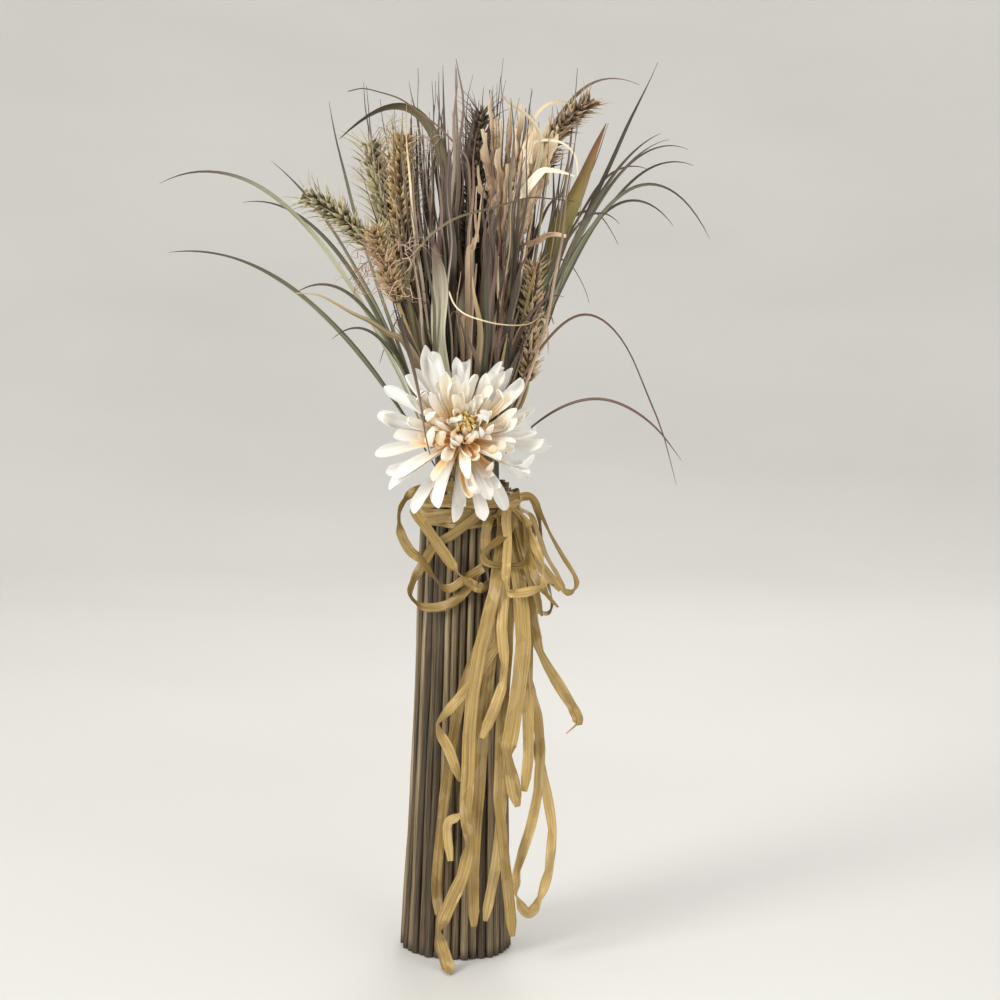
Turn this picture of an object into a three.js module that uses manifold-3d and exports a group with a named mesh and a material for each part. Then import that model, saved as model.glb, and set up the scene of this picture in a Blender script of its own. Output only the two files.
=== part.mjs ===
// A free-standing sheaf of dried stalks that holds wheat ears, grasses and papery husks, tied with raffia
// under one large cream bloom. Millimetres, +Z up. The origin is the middle of the cut ends that the sheaf
// stands on, and its front, with the bloom and the bow, faces -Y.
import * as THREE from "three";
import { mergeVertices } from "three/addons/utils/BufferGeometryUtils.js";
import Module from "manifold-3d";

const wasm = await Module();
wasm.setup();

// Driving dimensions
const FOOT_RADIUS = 37; // outside of the sheaf at its cut ends
const TIE_RADIUS = 30; // outside of the sheaf under the raffia band
const TIE_HEIGHT = 291; // middle of the raffia band
const BAND_WIDTH = 20; // the raffia band, measured along the stalks
const BAND_THICKNESS = 1.8; // its wraps, one over the other
const STALK_TOP = 305; // the stalks are cut off a little above the band
const CLUMPS = 12; // clumps of stalks round the sheaf
const RING_STALKS = 3; // stalks that one clump shows on the outside
const INNER_STALKS = 2; // and on the inside, round the stems
const HOLE_SHARE = 0.56; // inner radius of the ring of stalks over its outer radius
const GAP = 0.3; // between pieces that touch
const CELL = 6.5; // pitch of the stems packed inside the ring
const FAN_HEIGHT = 312; // the stems spread from here up
const ROOT_DEPTH = 7; // a blade or stalk is sunk this far into its stem
const STEM_RADIUS = 1.3; // a wheat stem
const BLADE_THICKNESS = 0.9; // keel of a grass blade
const BLADE_SPACING = 0.6; // between the roots of one spray
const LEAF_THICKNESS = 0.7; // husks, wide leaves and raffia
const RAFFIA_WIDTH = 7; // a raffia ribbon

const UP = new THREE.Vector3(0, 0, 1);
const vec = (x, y, z) => new THREE.Vector3(x, y, z);
const turn = (degrees) => THREE.MathUtils.degToRad(degrees);
// A repeatable number from 0 to 1 for each whole number
const chance = (n) => {
  const s = Math.sin(n * 12.9898) * 43758.5453;
  return s - Math.floor(s);
};
const spread = (n, amount) => (chance(n) - 0.5) * 2 * amount;

const paint = (color, roughness) => new THREE.MeshStandardMaterial({ color, roughness, metalness: 0 });
const STALK = () => paint(0x6f6253, 0.85);
const STRAW = () => paint(0xa98f5c, 0.8);
const GREEN_STRAW = () => paint(0x8e8c63, 0.8);
const DARK_STRAW = () => paint(0x5c4a3f, 0.85);
const GRASS = () => paint(0x66694c, 0.75);
const RED_GRASS = () => paint(0x745248, 0.75);
const OLIVE = () => paint(0x77754f, 0.7);
const HUSK = () => paint(0xd9bf98, 0.7);
const PETAL = () => paint(0xf6efe2, 0.6);
const HEART = () => paint(0xe9a763, 0.6);
const CALYX = () => paint(0x7d8257, 0.8);
const RAFFIA = () => paint(0xb9944e, 0.75);

// Closed solids

// A closed skin through rings of points, with the same number of points in each. A section whose second
// half lies under its first gets its quads cut alike on both faces, so that thin twisted blades stay sound.
function loft(rings, cap) {
  const sides = rings[0].length;
  const faces = [];
  for (let i = 0; i + 1 < rings.length; i++) {
    for (let j = 0; j < sides; j++) {
      const [a, b] = [i * sides + j, i * sides + ((j + 1) % sides)];
      const [c, d] = [a + sides, b + sides];
      if (j < sides / 2) faces.push(a, b, d, a, d, c);
      else faces.push(a, b, c, b, d, c);
    }
  }
  const last = (rings.length - 1) * sides;
  for (const [a, b, c] of cap ?? fan(sides)) {
    faces.push(a, c, b, last + a, last + b, last + c);
  }
  const geometry = new THREE.BufferGeometry();
  geometry.setFromPoints(rings.flat());
  geometry.setIndex(faces);
  return geometry;
}

function fan(sides) {
  return Array.from({ length: sides - 2 }, (_, i) => [0, i + 1, i + 2]);
}

// A three.js geometry as a solid, turned right side out
function solid(geometry) {
  const bare = geometry.clone();
  bare.deleteAttribute("normal");
  bare.deleteAttribute("uv");
  const merged = mergeVertices(bare, 1e-4);
  const points = merged.attributes.position;
  const faces = merged.index.array;
  let volume = 0;
  const corner = [vec(0, 0, 0), vec(0, 0, 0), vec(0, 0, 0)];
  for (let i = 0; i < faces.length; i += 3) {
    corner.forEach((p, k) => p.fromBufferAttribute(points, faces[i + k]));
    volume += corner[0].dot(corner[1].cross(corner[2]));
  }
  const triVerts = Uint32Array.from(faces);
  if (volume < 0) triVerts.reverse();
  const vertProperties = Float32Array.from(points.array);
  return new wasm.Manifold(new wasm.Mesh({ numProp: 3, vertProperties, triVerts }));
}

// Several geometries fused into one
function fuse(geometries) {
  const solids = geometries.map(solid);
  let whole = solids[0];
  for (const next of solids.slice(1)) whole = whole.add(next);
  const mesh = whole.getMesh();
  const geometry = new THREE.BufferGeometry();
  geometry.setAttribute("position", new THREE.BufferAttribute(Float32Array.from(mesh.vertProperties), 3));
  geometry.setIndex(new THREE.BufferAttribute(Uint32Array.from(mesh.triVerts), 1));
  return geometry;
}

const sheaf = new THREE.Group();

function piece(name, material, geometry) {
  const smooth = geometry.clone();
  smooth.computeVertexNormals();
  const mesh = new THREE.Mesh(smooth, material);
  mesh.name = name;
  sheaf.add(mesh);
}

// A blade along a curve: flat across `side`, with a keel on its underside, or with two flat faces
function blade(curve, side, width, steps, { keel = true, root = 0.5, tip = 0.12, widest = 0.35 } = {}) {
  const rings = curve.getPoints(steps).map((p, i) => {
    const t = i / steps;
    const ahead = curve.getTangent(t);
    const over = side.clone().cross(ahead).normalize();
    const across = ahead.clone().cross(over).normalize();
    const opening = root + (1 - root) * (t / widest);
    const closing = 1 - (1 - tip) * (Math.max(t - widest, 0) / (1 - widest)) ** 1.6;
    const share = t < widest ? opening : closing;
    const half = (width / 2) * share;
    const thick = (keel ? BLADE_THICKNESS : LEAF_THICKNESS) * (t < 1 ? 1 : 0.6);
    const at = (s, up) => p.clone().addScaledVector(across, s * half).addScaledVector(over, up * thick);
    return keel ? [at(-1, 0), at(1, 0), at(0, -1)] : [at(-1, 0.5), at(1, 0.5), at(1, -0.5), at(-1, -0.5)];
  });
  return loft(rings);
}

// A round stem along a curve, by its radius at each end
function stem(curve, from, to, steps, sides = 5) {
  const rings = curve.getPoints(steps).map((p, i) => {
    const ahead = curve.getTangent(i / steps);
    const across = vec(-ahead.y - 0.3, ahead.x, 0).cross(ahead).normalize();
    const over = ahead.clone().cross(across);
    const radius = from + ((to - from) * i) / steps;
    return Array.from({ length: sides }, (_, j) => {
      const a = (j / sides) * 2 * Math.PI;
      const out = across.clone().multiplyScalar(Math.cos(a)).addScaledVector(over, Math.sin(a));
      return p.clone().addScaledVector(out, radius);
    });
  });
  return loft(rings);
}

// Stalks: the ring of brown reeds, in clumps, splayed at the foot and drawn in at the tie

function sheafRadius(z) {
  const drawnIn = Math.min(z / TIE_HEIGHT, 1);
  return FOOT_RADIUS + (TIE_RADIUS - FOOT_RADIUS) * drawnIn - 1.2 * Math.sin(Math.PI * drawnIn);
}

function clumpOutline(clump, z) {
  const outside = sheafRadius(z);
  const halfAngle = Math.PI / CLUMPS;
  const share = Math.sin(halfAngle / RING_STALKS);
  const ring = outside / (1 + share);
  const thickness = ring * share - GAP / 2;
  const inside = outside * HOLE_SHARE;
  const points = [];
  const polar = (r, a, dr, da) => {
    const middle = new THREE.Vector2(r * Math.cos(a), r * Math.sin(a));
    const edge = new THREE.Vector2(dr * Math.cos(a + da), dr * Math.sin(a + da));
    points.push(middle.add(edge));
  };
  for (let k = 0; k < RING_STALKS; k++) {
    const angle = ((2 * k + 1) / RING_STALKS - 1) * halfAngle;
    const set = chance(clump * 7 + k) * 0.5;
    for (const a of [-90, -40, 0, 40, 90]) polar(ring - set, angle, thickness, turn(a));
  }
  const innerShare = Math.sin(halfAngle / INNER_STALKS);
  const innerRing = inside / (1 - innerShare);
  const innerThickness = innerRing * innerShare - GAP / 2;
  for (let k = INNER_STALKS - 1; k >= 0; k--) {
    const angle = ((2 * k + 1) / INNER_STALKS - 1) * halfAngle;
    for (const a of [90, 180, 270]) polar(innerRing, angle, innerThickness, turn(a));
  }
  return points;
}

function clump(index) {
  const top = STALK_TOP + spread(index * 31 + 5, 4);
  const heights = [0, TIE_HEIGHT / 2, TIE_HEIGHT, top];
  const cap = THREE.ShapeUtils.triangulateShape(clumpOutline(index, 0), []);
  const rings = heights.map((z) => clumpOutline(index, z).map((p) => vec(p.x, p.y, z)));
  return loft(rings, cap).rotateZ((index / CLUMPS) * 2 * Math.PI);
}

for (let i = 0; i < CLUMPS; i++) {
  piece(`stalk_clump_${String(i + 1).padStart(2, "0")}`, STALK(), clump(i));
}

// Stems: packed in a honeycomb inside the ring, one for each ear, leaf or spray that stands in the sheaf

function cellCentre(ring, degrees) {
  const corner = degrees % 60 === 0;
  const r = CELL * ring * (corner ? 1 : Math.cos(turn(30)));
  return vec(r * Math.cos(turn(degrees)), r * Math.sin(turn(degrees)), 0);
}

// A six-sided stem from the cut end up to where it spreads
function rod(centre, low) {
  const radius = (CELL - GAP) / 2 / Math.cos(turn(30));
  const hexagon = new THREE.CylinderGeometry(radius, radius, FAN_HEIGHT - low, 6);
  return hexagon.rotateX(Math.PI / 2).translate(centre.x, centre.y, (FAN_HEIGHT + low) / 2);
}

const stemFoot = (n) => 30 + chance(n) * 90;

// Wheat ears: two rows of spikelets on each side of a slim spine, with awns at their tips

function ear(foot, head, radius, { levels = 8, awn = 12, awnEvery = 3, seed = 0 } = {}) {
  const axis = head.clone().sub(foot);
  const length = axis.length();
  axis.normalize();
  const out = vec(axis.z, 0.2, -axis.x).cross(axis).normalize();
  const parts = [stem(new THREE.LineCurve3(foot, head), STEM_RADIUS * 1.3, 0.7, 1, 4)];
  const size = (length / levels) * 1.6;
  for (let i = 0; i < levels * 2; i++) {
    const level = Math.floor(i / 2);
    const t = (level + 0.2) / levels;
    const round = turn((i % 2) * 180 + (level % 2) * 90 + spread(seed + i, 12));
    const radial = out.clone().applyAxisAngle(axis, round);
    const fullness = Math.sin(Math.PI * (0.25 + 0.6 * t)) ** 0.8;
    const lean = axis.clone().multiplyScalar(0.94).addScaledVector(radial, 0.34).normalize();
    const across = radial.clone().cross(lean).normalize();
    const centre = foot.clone().addScaledVector(axis, t * length * 0.88 + size * 0.3);
    centre.addScaledVector(radial, radius * 0.5 * fullness);
    const frame = new THREE.Matrix4().makeBasis(across, lean.clone().cross(across), lean);
    const husk = new THREE.OctahedronGeometry(1, 0).scale(radius * 0.52, radius * 0.42, size * 0.62);
    parts.push(husk.applyMatrix4(frame).translate(centre.x, centre.y, centre.z));
    if ((i + seed) % awnEvery === 0) {
      const root = centre.clone().addScaledVector(lean, size * 0.4);
      const reach = awn + size * 0.2;
      const bristle = new THREE.ConeGeometry(0.55, reach, 3).translate(0, reach / 2, 0);
      bristle.applyQuaternion(new THREE.Quaternion().setFromUnitVectors(vec(0, 1, 0), lean));
      parts.push(bristle.translate(root.x, root.y, root.z));
    }
  }
  return parts;
}

// The stalk of an ear, from its packed stem up to the foot of the ear
function earStalk(centre, foot, head) {
  const rise = foot.z - FAN_HEIGHT;
  const axis = head.clone().sub(foot).normalize();
  const root = vec(centre.x, centre.y, FAN_HEIGHT - ROOT_DEPTH);
  const first = vec(centre.x, centre.y, FAN_HEIGHT + rise * 0.35);
  const second = foot.clone().addScaledVector(axis, -rise * 0.4);
  const tip = foot.clone().addScaledVector(axis, 2);
  return stem(new THREE.CubicBezierCurve3(root, first, second, tip), STEM_RADIUS, STEM_RADIUS, 6, 4);
}

// Grass blades: each is an azimuth, the reach and height of its tip, and the height that it arches towards

const across = (azimuth) => vec(-Math.sin(turn(azimuth)), Math.cos(turn(azimuth)), 0);

function arch(centre, [azimuth, reach, height, peak, far = 0.6], aside = 0) {
  const away = vec(Math.cos(turn(azimuth)), Math.sin(turn(azimuth)), 0);
  const root = vec(centre.x, centre.y, FAN_HEIGHT - ROOT_DEPTH).addScaledVector(across(azimuth), aside);
  const tip = away.clone().multiplyScalar(reach).setZ(height);
  const outward = tip.clone().sub(root).setZ(0);
  const first = root.clone().addScaledVector(outward, far * 0.42).setZ(root.z + (peak - root.z) * 0.5);
  const second = root.clone().addScaledVector(outward, far).setZ(peak);
  return new THREE.CubicBezierCurve3(root, first, second, tip);
}

// The blades of a spray stand side by side in the top of their stem
function grass(centre, rows, seed, width = 3) {
  return rows.map((row, i) => {
    const aside = (i - (rows.length - 1) / 2) * BLADE_SPACING;
    return blade(arch(centre, row, aside), across(row[0]), width * (0.85 + 0.3 * chance(seed + i)), 7);
  });
}

function wideLeaf(centre, row, width, root = 0.32) {
  const shape = { keel: false, root, tip: 0.06, widest: 0.5 };
  return blade(arch(centre, row), across(row[0]), width, 9, shape);
}

const EARS = [
  // name, ring and azimuth of its stem, foot and head of the ear, radius, awns, colour
  ["wheat_ear_left", 2, 210, [-66, -21, 460], [-110, -31, 491], 7.5, { awn: 11, levels: 7 }, GREEN_STRAW],
  ["wheat_ear_bristly", 1, 120, [-53, 13, 462], [-71, 16, 528], 8, { awn: 13 }, GREEN_STRAW],
  ["wheat_ear_golden", 1, 180, [-43, -3, 428], [-51, -5, 523], 8.5, { awn: 9, levels: 10 }, STRAW],
  ["wheat_ear_pink", 2, 240, [-46, -31, 424], [-63, -38, 473], 7.5, { awn: 8, levels: 6 }, STRAW],
  ["wheat_ear_dark", 0, 0, [-1, 0, 474], [4, 0, 556], 6.5, { awn: 20, levels: 7 }, DARK_STRAW],
  ["wheat_ear_right", 1, 0, [45, 1, 514], [78, 0, 560], 6.5, { awn: 12, levels: 7 }, DARK_STRAW],
  ["wheat_ear_low", 2, 330, [38, -13, 376], [40, -16, 456], 7.5, { awn: 9, levels: 7 }, DARK_STRAW],
  ["wheat_ear_back", 2, 60, [22, 40, 450], [30, 58, 530], 7.5, { awn: 12, levels: 7 }, DARK_STRAW],
];
const EAR_BLADES = {
  wheat_ear_dark: [
    [182, 22, 578, 470, 0.8],
    [176, 14, 579, 480, 0.6],
    [12, 15, 572, 470, 0.7],
    [100, 16, 560, 470, 0.8],
  ],
  wheat_ear_back: [[68, 62, 560, 470, 0.6]],
};

EARS.forEach(([name, ring, azimuth, footAt, headAt, radius, options, colour], n) => {
  const centre = cellCentre(ring, azimuth);
  const [foot, head] = [vec(...footAt), vec(...headAt)];
  const low = ring === 0 ? 0 : stemFoot(n + 3);
  const blades = grass(centre, EAR_BLADES[name] ?? [], n * 50);
  const spikelets = ear(foot, head, radius, { ...options, seed: n * 90 });
  piece(name, colour(), fuse([rod(centre, low), earStalk(centre, foot, head), ...spikelets, ...blades]));
});

const GRASSES = [
  // name, ring and azimuth of its stem, colour, blades
  ["grass_left", 2, 180, GRASS, [
    [174, 97, 555, 470, 0.8], [177, 133, 515, 480], [179, 150, 487, 500], [180, 204, 498, 540],
    [183, 196, 453, 467], [185, 90, 400, 430], [186, 114, 429, 458],
  ]],
  ["grass_left_upright", 2, 150, GRASS, [
    [128, 40, 560, 470], [138, 58, 573, 470, 0.7], [144, 50, 581, 480, 0.6], [150, 70, 530, 470, 0.9],
    [153, 72, 560, 475, 0.8], [156, 79, 568, 490, 0.95], [159, 82, 571, 480, 0.75],
  ]],
  ["grass_back_left", 2, 120, RED_GRASS, [
    [118, 82, 535, 500, 0.8], [125, 105, 480, 520], [130, 100, 385, 470], [135, 120, 440, 500],
    [142, 112, 520, 500], [147, 105, 470, 480],
  ]],
  ["grass_back", 2, 90, GRASS, [
    [75, 85, 430, 520], [82, 60, 545, 500, 0.7], [90, 80, 500, 540], [98, 50, 560, 480, 0.6],
    [105, 78, 455, 500], [110, 86, 400, 480],
  ]],
  ["grass_right_back", 2, 30, RED_GRASS, [
    [25, 130, 520, 540], [28, 100, 550, 500, 0.8], [32, 115, 470, 540], [38, 85, 558, 480, 0.8],
    [40, 105, 430, 510], [48, 100, 500, 520],
  ]],
  ["grass_right", 2, 0, GRASS, [
    [-3, 95, 479, 513], [-2, 120, 538, 520], [-1, 154, 471, 570], [1, 126, 535, 525],
    [3, 139, 529, 550], [7, 132, 480, 540], [11, 147, 521, 540],
  ]],
  ["grass_front", 2, 300, RED_GRASS, [
    [-66, 38, 470, 440], [-50, 42, 500, 450], [-33, 48, 466, 440], [-29, 66, 430, 440],
    [-24, 144, 314, 500], [-24.5, 149, 329, 402],
  ]],
];

GRASSES.forEach(([name, ring, azimuth, colour, rows], n) => {
  const centre = cellCentre(ring, azimuth);
  piece(name, colour(), fuse([rod(centre, stemFoot(n + 20)), ...grass(centre, rows, n * 40 + 7)]));
});

// Wide leaves: striped olive straps, one arched over to the left, one short and upright, two to the right

const leftCell = cellCentre(1, 240);
piece("leaf_left", OLIVE(), fuse([
  rod(leftCell, stemFoot(41)),
  wideLeaf(leftCell, [186, 88, 528, 610, 0.06], 7.5, 0.4),
  wideLeaf(leftCell, [226, 36, 466, 420, 0.95], 10),
]));

const rightCell = cellCentre(1, 60);
piece("leaf_right", OLIVE(), fuse([
  rod(rightCell, stemFoot(42)),
  wideLeaf(rightCell, [11, 87, 546, 470], 9.5),
  ...grass(rightCell, [[9, 119, 586, 480], [7, 107, 571, 600, 0.36]], 90, 3.6),
]));

// Husks: a bunch of papery bracts that springs from one stalk

const HUSKS = [
  // sideways and forward lean in degrees, length, width
  [-9, 3, 104, 8], [-4, -9, 114, 10], [2, 5, 106, 9], [7, -6, 116, 10], [12, 5, 108, 9], [17, -5, 104, 8],
  [23, 6, 90, 8], [0, 16, 84, 8], [9, 18, 78, 8], [-9, 14, 72, 7],
];
const huskCell = cellCentre(1, 300);
const huskFoot = vec(20, -16, 450);

function husk([sideways, forward, length, width]) {
  const lean = vec(Math.sin(turn(sideways)), -Math.sin(turn(forward)), 1).normalize();
  const low = huskFoot.clone().addScaledVector(UP, -6);
  const middle = huskFoot.clone().addScaledVector(lean, length * 0.5);
  const tip = huskFoot.clone().addScaledVector(lean, length).add(vec(sideways * 0.25, forward * 0.2, 0));
  const curve = new THREE.QuadraticBezierCurve3(low, middle, tip);
  const side = vec(1, 0.35 * Math.sin(sideways), 0);
  return blade(curve, side, width, 4, { keel: false, root: 0.22, tip: 0.15, widest: 0.5 });
}

piece("husk_bunch", HUSK(), fuse([
  rod(huskCell, stemFoot(43)),
  earStalk(huskCell, huskFoot, huskFoot.clone().add(vec(0.1, -0.05, 1))),
  ...HUSKS.map(husk),
]));

// Bloom: spoon-shaped petals in layers round a heart of small curled ones, on a calyx whose stem bends
// back over the cut stalks and down among the stems

const BLOOM_CENTRE = vec(-3, -52, 340);
const BLOOM_AXIS = vec(0.1, -0.9, 0.42).normalize();
const CORE_RADIUS = 11;
const FACETED = 0.945; // how far the flats of a faceted ball stand from its centre, over its radius
const bloomSide = UP.clone().cross(BLOOM_AXIS).normalize();
const bloomUp = BLOOM_AXIS.clone().cross(bloomSide).normalize();
const LAYERS = [
  // petals, reach, how far the layer leans forward in degrees, petal width
  [15, 57, -6, 12], [14, 53, 14, 11.5], [12, 45, 34, 10.5], [8, 36, 54, 9],
];

// A direction square to the bloom's axis, by its angle round it
function spoke(round) {
  return bloomSide.clone().multiplyScalar(Math.cos(round)).addScaledVector(bloomUp, Math.sin(round));
}

function petal(round, reach, forward, width) {
  const radial = spoke(round);
  const [rise, level] = [Math.sin(turn(forward)), Math.cos(turn(forward))];
  const out = radial.clone().multiplyScalar(level).addScaledVector(BLOOM_AXIS, rise);
  const over = BLOOM_AXIS.clone().multiplyScalar(level).addScaledVector(radial, -rise);
  const at = (along, up) => BLOOM_CENTRE.clone().addScaledVector(out, along).addScaledVector(over, up);
  const route = [at(4, 0), at(reach * 0.4, -2), at(reach * 0.75, -1), at(reach, 6)];
  const curve = new THREE.CubicBezierCurve3(...route);
  const side = radial.clone().cross(BLOOM_AXIS);
  const rings = [0, 0.35, 0.7, 0.9, 1].map((t, i) => {
    const p = curve.getPoint(t);
    const up = side.clone().cross(curve.getTangent(t)).normalize();
    const half = (width / 2) * [0.34, 0.5, 0.96, 0.9, 0.4][i];
    const corner = (s, h) => p.clone().addScaledVector(side, s * half).addScaledVector(up, h);
    return [corner(-1, half * 0.3), corner(0, 0.5), corner(1, half * 0.3), corner(0, -1)];
  });
  return loft(rings, [[0, 1, 3], [1, 2, 3]]);
}

const core = new THREE.IcosahedronGeometry(CORE_RADIUS, 1).translate(...BLOOM_CENTRE.toArray());
const petals = LAYERS.flatMap(([count, reach, forward, width], layer) =>
  Array.from({ length: count }, (_, i) => {
    const n = layer * 20 + i;
    const round = ((i + layer * 0.5) / count) * 2 * Math.PI + spread(n + 300, 0.05);
    return petal(round, reach * (1 + spread(n + 340, 0.07)), forward + spread(n + 380, 3), width);
  }),
);
piece("bloom_petals", PETAL(), fuse([core, ...petals]));

// The heart sits in front of the core, clear of it, with its petals curled in
const HEART_RADIUS = 6;
const heartOut = (CORE_RADIUS + HEART_RADIUS) * FACETED + GAP;
const heartCentre = BLOOM_CENTRE.clone().addScaledVector(BLOOM_AXIS, heartOut);

function heartPetal(i, count, lean, reach) {
  const radial = spoke((i / count) * 2 * Math.PI + lean);
  const at = (out, up) => heartCentre.clone().addScaledVector(radial, out).addScaledVector(BLOOM_AXIS, up);
  const route = [at(2, 0), at(reach, 3), at(reach, reach), at(reach * 0.45, reach * 1.5)];
  const curve = new THREE.CubicBezierCurve3(...route);
  const side = radial.clone().cross(BLOOM_AXIS);
  return blade(curve, side, 4.6, 3, { keel: false, root: 0.6, tip: 0.5, widest: 0.6 });
}

const heartCore = new THREE.IcosahedronGeometry(HEART_RADIUS, 1).translate(...heartCentre.toArray());
const heartPetals = [
  ...Array.from({ length: 6 }, (_, i) => heartPetal(i, 6, 0.2, 9)),
  ...Array.from({ length: 3 }, (_, i) => heartPetal(i, 3, 0.6, 4.5)),
];
piece("bloom_heart", HEART(), fuse([heartCore, ...heartPetals]));

const bloomCell = cellCentre(2, 270);
const calyxFace = BLOOM_CENTRE.clone().addScaledVector(BLOOM_AXIS, -(CORE_RADIUS + GAP));
const bloomStem = new THREE.CubicBezierCurve3(
  vec(bloomCell.x, bloomCell.y, FAN_HEIGHT - ROOT_DEPTH),
  vec(bloomCell.x, bloomCell.y, FAN_HEIGHT + 14),
  calyxFace.clone().addScaledVector(BLOOM_AXIS, -14),
  calyxFace.clone().addScaledVector(BLOOM_AXIS, -2),
);
const cup = new THREE.CylinderGeometry(8, 3, 6, 10);
cup.applyQuaternion(new THREE.Quaternion().setFromUnitVectors(vec(0, 1, 0), BLOOM_AXIS));
cup.translate(...calyxFace.clone().addScaledVector(BLOOM_AXIS, -3).toArray());
piece("bloom_calyx", CALYX(), fuse([rod(bloomCell, stemFoot(44)), stem(bloomStem, 2.2, 2.2, 7, 6), cup]));

// Raffia: a band wound round the sheaf, a knot on its right front, loops on both sides and long tails

const bandTurns = 3;
const bandPitch = BAND_WIDTH / bandTurns;
const bandInside = sheafRadius(TIE_HEIGHT - BAND_WIDTH / 2) + GAP;
const bandProfile = [];
for (let i = 0; i < bandTurns; i++) {
  const low = TIE_HEIGHT - BAND_WIDTH / 2 + i * bandPitch;
  bandProfile.push(new THREE.Vector2(bandInside + BAND_THICKNESS * 0.55, low));
  bandProfile.push(new THREE.Vector2(bandInside + BAND_THICKNESS, low + bandPitch / 2));
}
const bandTop = TIE_HEIGHT + BAND_WIDTH / 2;
bandProfile.push(new THREE.Vector2(bandInside + BAND_THICKNESS * 0.55, bandTop));
bandProfile.push(new THREE.Vector2(bandInside, bandTop));
bandProfile.push(new THREE.Vector2(bandInside, bandTop - BAND_WIDTH));
bandProfile.push(bandProfile[0].clone());
piece("raffia_band", RAFFIA(), fuse([new THREE.LatheGeometry(bandProfile, 24).rotateX(Math.PI / 2)]));

// The knot is a flattened barrel of wraps, whose flat side lies along the band
const KNOT_AZIMUTH = -43;
const KNOT_LOW = 288;
const KNOT_HIGH = 306;
const KNOT_RADIUS = 9;
const KNOT_DEPTH_SHARE = 0.66;
const knotFromAxis = bandInside + BAND_THICKNESS + GAP + KNOT_RADIUS * KNOT_DEPTH_SHARE;
const knotProfile = [
  [0, KNOT_LOW], [7.6, KNOT_LOW], [KNOT_RADIUS, 294], [8, 297], [KNOT_RADIUS, 300], [7.6, KNOT_HIGH],
  [0, KNOT_HIGH],
].map(([r, z]) => new THREE.Vector2(r, z));
const knot = new THREE.LatheGeometry(knotProfile, 14).rotateX(Math.PI / 2).scale(KNOT_DEPTH_SHARE, 1, 1);
piece("raffia_knot", RAFFIA(), fuse([knot.translate(knotFromAxis, 0, 0).rotateZ(turn(KNOT_AZIMUTH))]));

// A ribbon keeps one flat side to the front; the tails look up a little, for the one that reaches the floor
const LOOP_FACE = vec(0, -1, 0);
const TAIL_FACE = vec(0, -1, 0.35).normalize();

function ribbon(points, face) {
  const route = new THREE.CatmullRomCurve3(points.map((p) => vec(...p)), false, "catmullrom", 0.5);
  const steps = points.length - 1;
  const rings = route.getPoints(steps).map((p, i) => {
    const ahead = route.getTangent(i / steps);
    const side = ahead.clone().cross(face).normalize();
    const over = side.clone().cross(ahead).normalize();
    side.multiplyScalar(RAFFIA_WIDTH / 2);
    over.multiplyScalar(LEAF_THICKNESS / 2);
    const at = (s, u) => p.clone().addScaledVector(side, s).addScaledVector(over, u);
    return [at(-1, 1), at(1, 1), at(1, -1), at(-1, -1)];
  });
  return loft(rings);
}

// The loops, set by hand, from one side of the knot and back to it
const LOOPS = {
  raffia_loop_left_high: [
    [20.4, -31, 305.9], [14, -35.5, 306.2], [3, -37.3, 308], [-14, -37.3, 308], [-30.5, -36.5, 305.5],
    [-38.5, -36.5, 299], [-42.3, -37, 289.7], [-41, -37.3, 278], [-35, -37.3, 266.8],
    [-27.2, -37.3, 260.3], [-19.4, -37.3, 249.8], [-10.2, -37.3, 242.6], [0.9, -37.3, 249.1],
    [12.7, -37, 257.6], [15, -36, 266], [14.4, -34, 280], [16.5, -32.4, 290], [20.3, -31.6, 290.5],
  ],
  raffia_loop_left_mid: [
    [21.6, -34.6, 298.4], [14, -38, 298], [4, -40.6, 298.5], [-14, -41, 299.5], [-27, -41, 298],
    [-32, -41, 292.5], [-24, -41, 281], [-10.9, -41, 262.9], [-4.3, -41, 253.7], [2.3, -41, 248.5],
    [8.8, -41, 244.5], [14, -41, 245], [15.4, -41, 250], [14, -40.6, 259], [13.4, -39.3, 269],
    [13.6, -36.8, 280], [15, -35.4, 288], [20.6, -34.2, 290.5],
  ],
  raffia_loop_left_low: [
    [20.7, -33.2, 298.4], [14, -33.6, 298], [6, -34, 288], [-7.6, -34.2, 277.3], [-19.4, -34.3, 269.4],
    [-25.9, -34.3, 258.3], [-32.4, -34.3, 246.5], [-33.6, -34.3, 236.5], [-24.5, -34.3, 229.8],
    [-9.5, -34.3, 232], [2.3, -34.3, 242], [8.8, -34.2, 251.7], [12.3, -33.8, 263], [13.6, -32.2, 274],
    [14.6, -31.1, 285], [16.4, -30.4, 293], [19.9, -29.6, 294],
  ],
  raffia_loop_right: [
    [36.4, -24.6, 302], [43, -28, 301], [48.8, -31, 290.5], [59.2, -34, 270.7], [70.4, -35, 253.7],
    [72.3, -35, 246.5], [69, -35, 242], [64.5, -35, 243], [61.5, -35, 249.5], [58.5, -34.6, 255.4],
    [51.4, -33, 266.8], [46, -30, 281], [42, -27, 290.5], [36.4, -24.6, 293],
  ],
  raffia_loop_right_low: [
    [36.9, -22.2, 301.5], [43, -22.4, 300], [48, -24, 285], [50, -27, 262], [54.7, -28.5, 245],
    [57, -28.5, 234], [55, -28.5, 227.5], [48.8, -28.5, 228], [42.2, -28.5, 231.5], [39, -28, 241],
    [41, -25.5, 258], [44.5, -23, 276], [42, -22.2, 289], [36.9, -22.2, 293],
  ],
};
for (const [name, points] of Object.entries(LOOPS)) piece(name, RAFFIA(), ribbon(points, LOOP_FACE));

// The tails, and two loops over them, leave the knot in a stack and hang in front of the stalks, each in a
// layer of its own, so that they cross without touching. Points are [across, height] and, where a tail
// leaves its layer, a third.
const KNOT_LAYER = -20.5;
const FOOT_LAYER = -38;
const KNOT_PITCH = 1.05;
const FOOT_PITCH = 1.5;
const FALL = 43;

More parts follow.
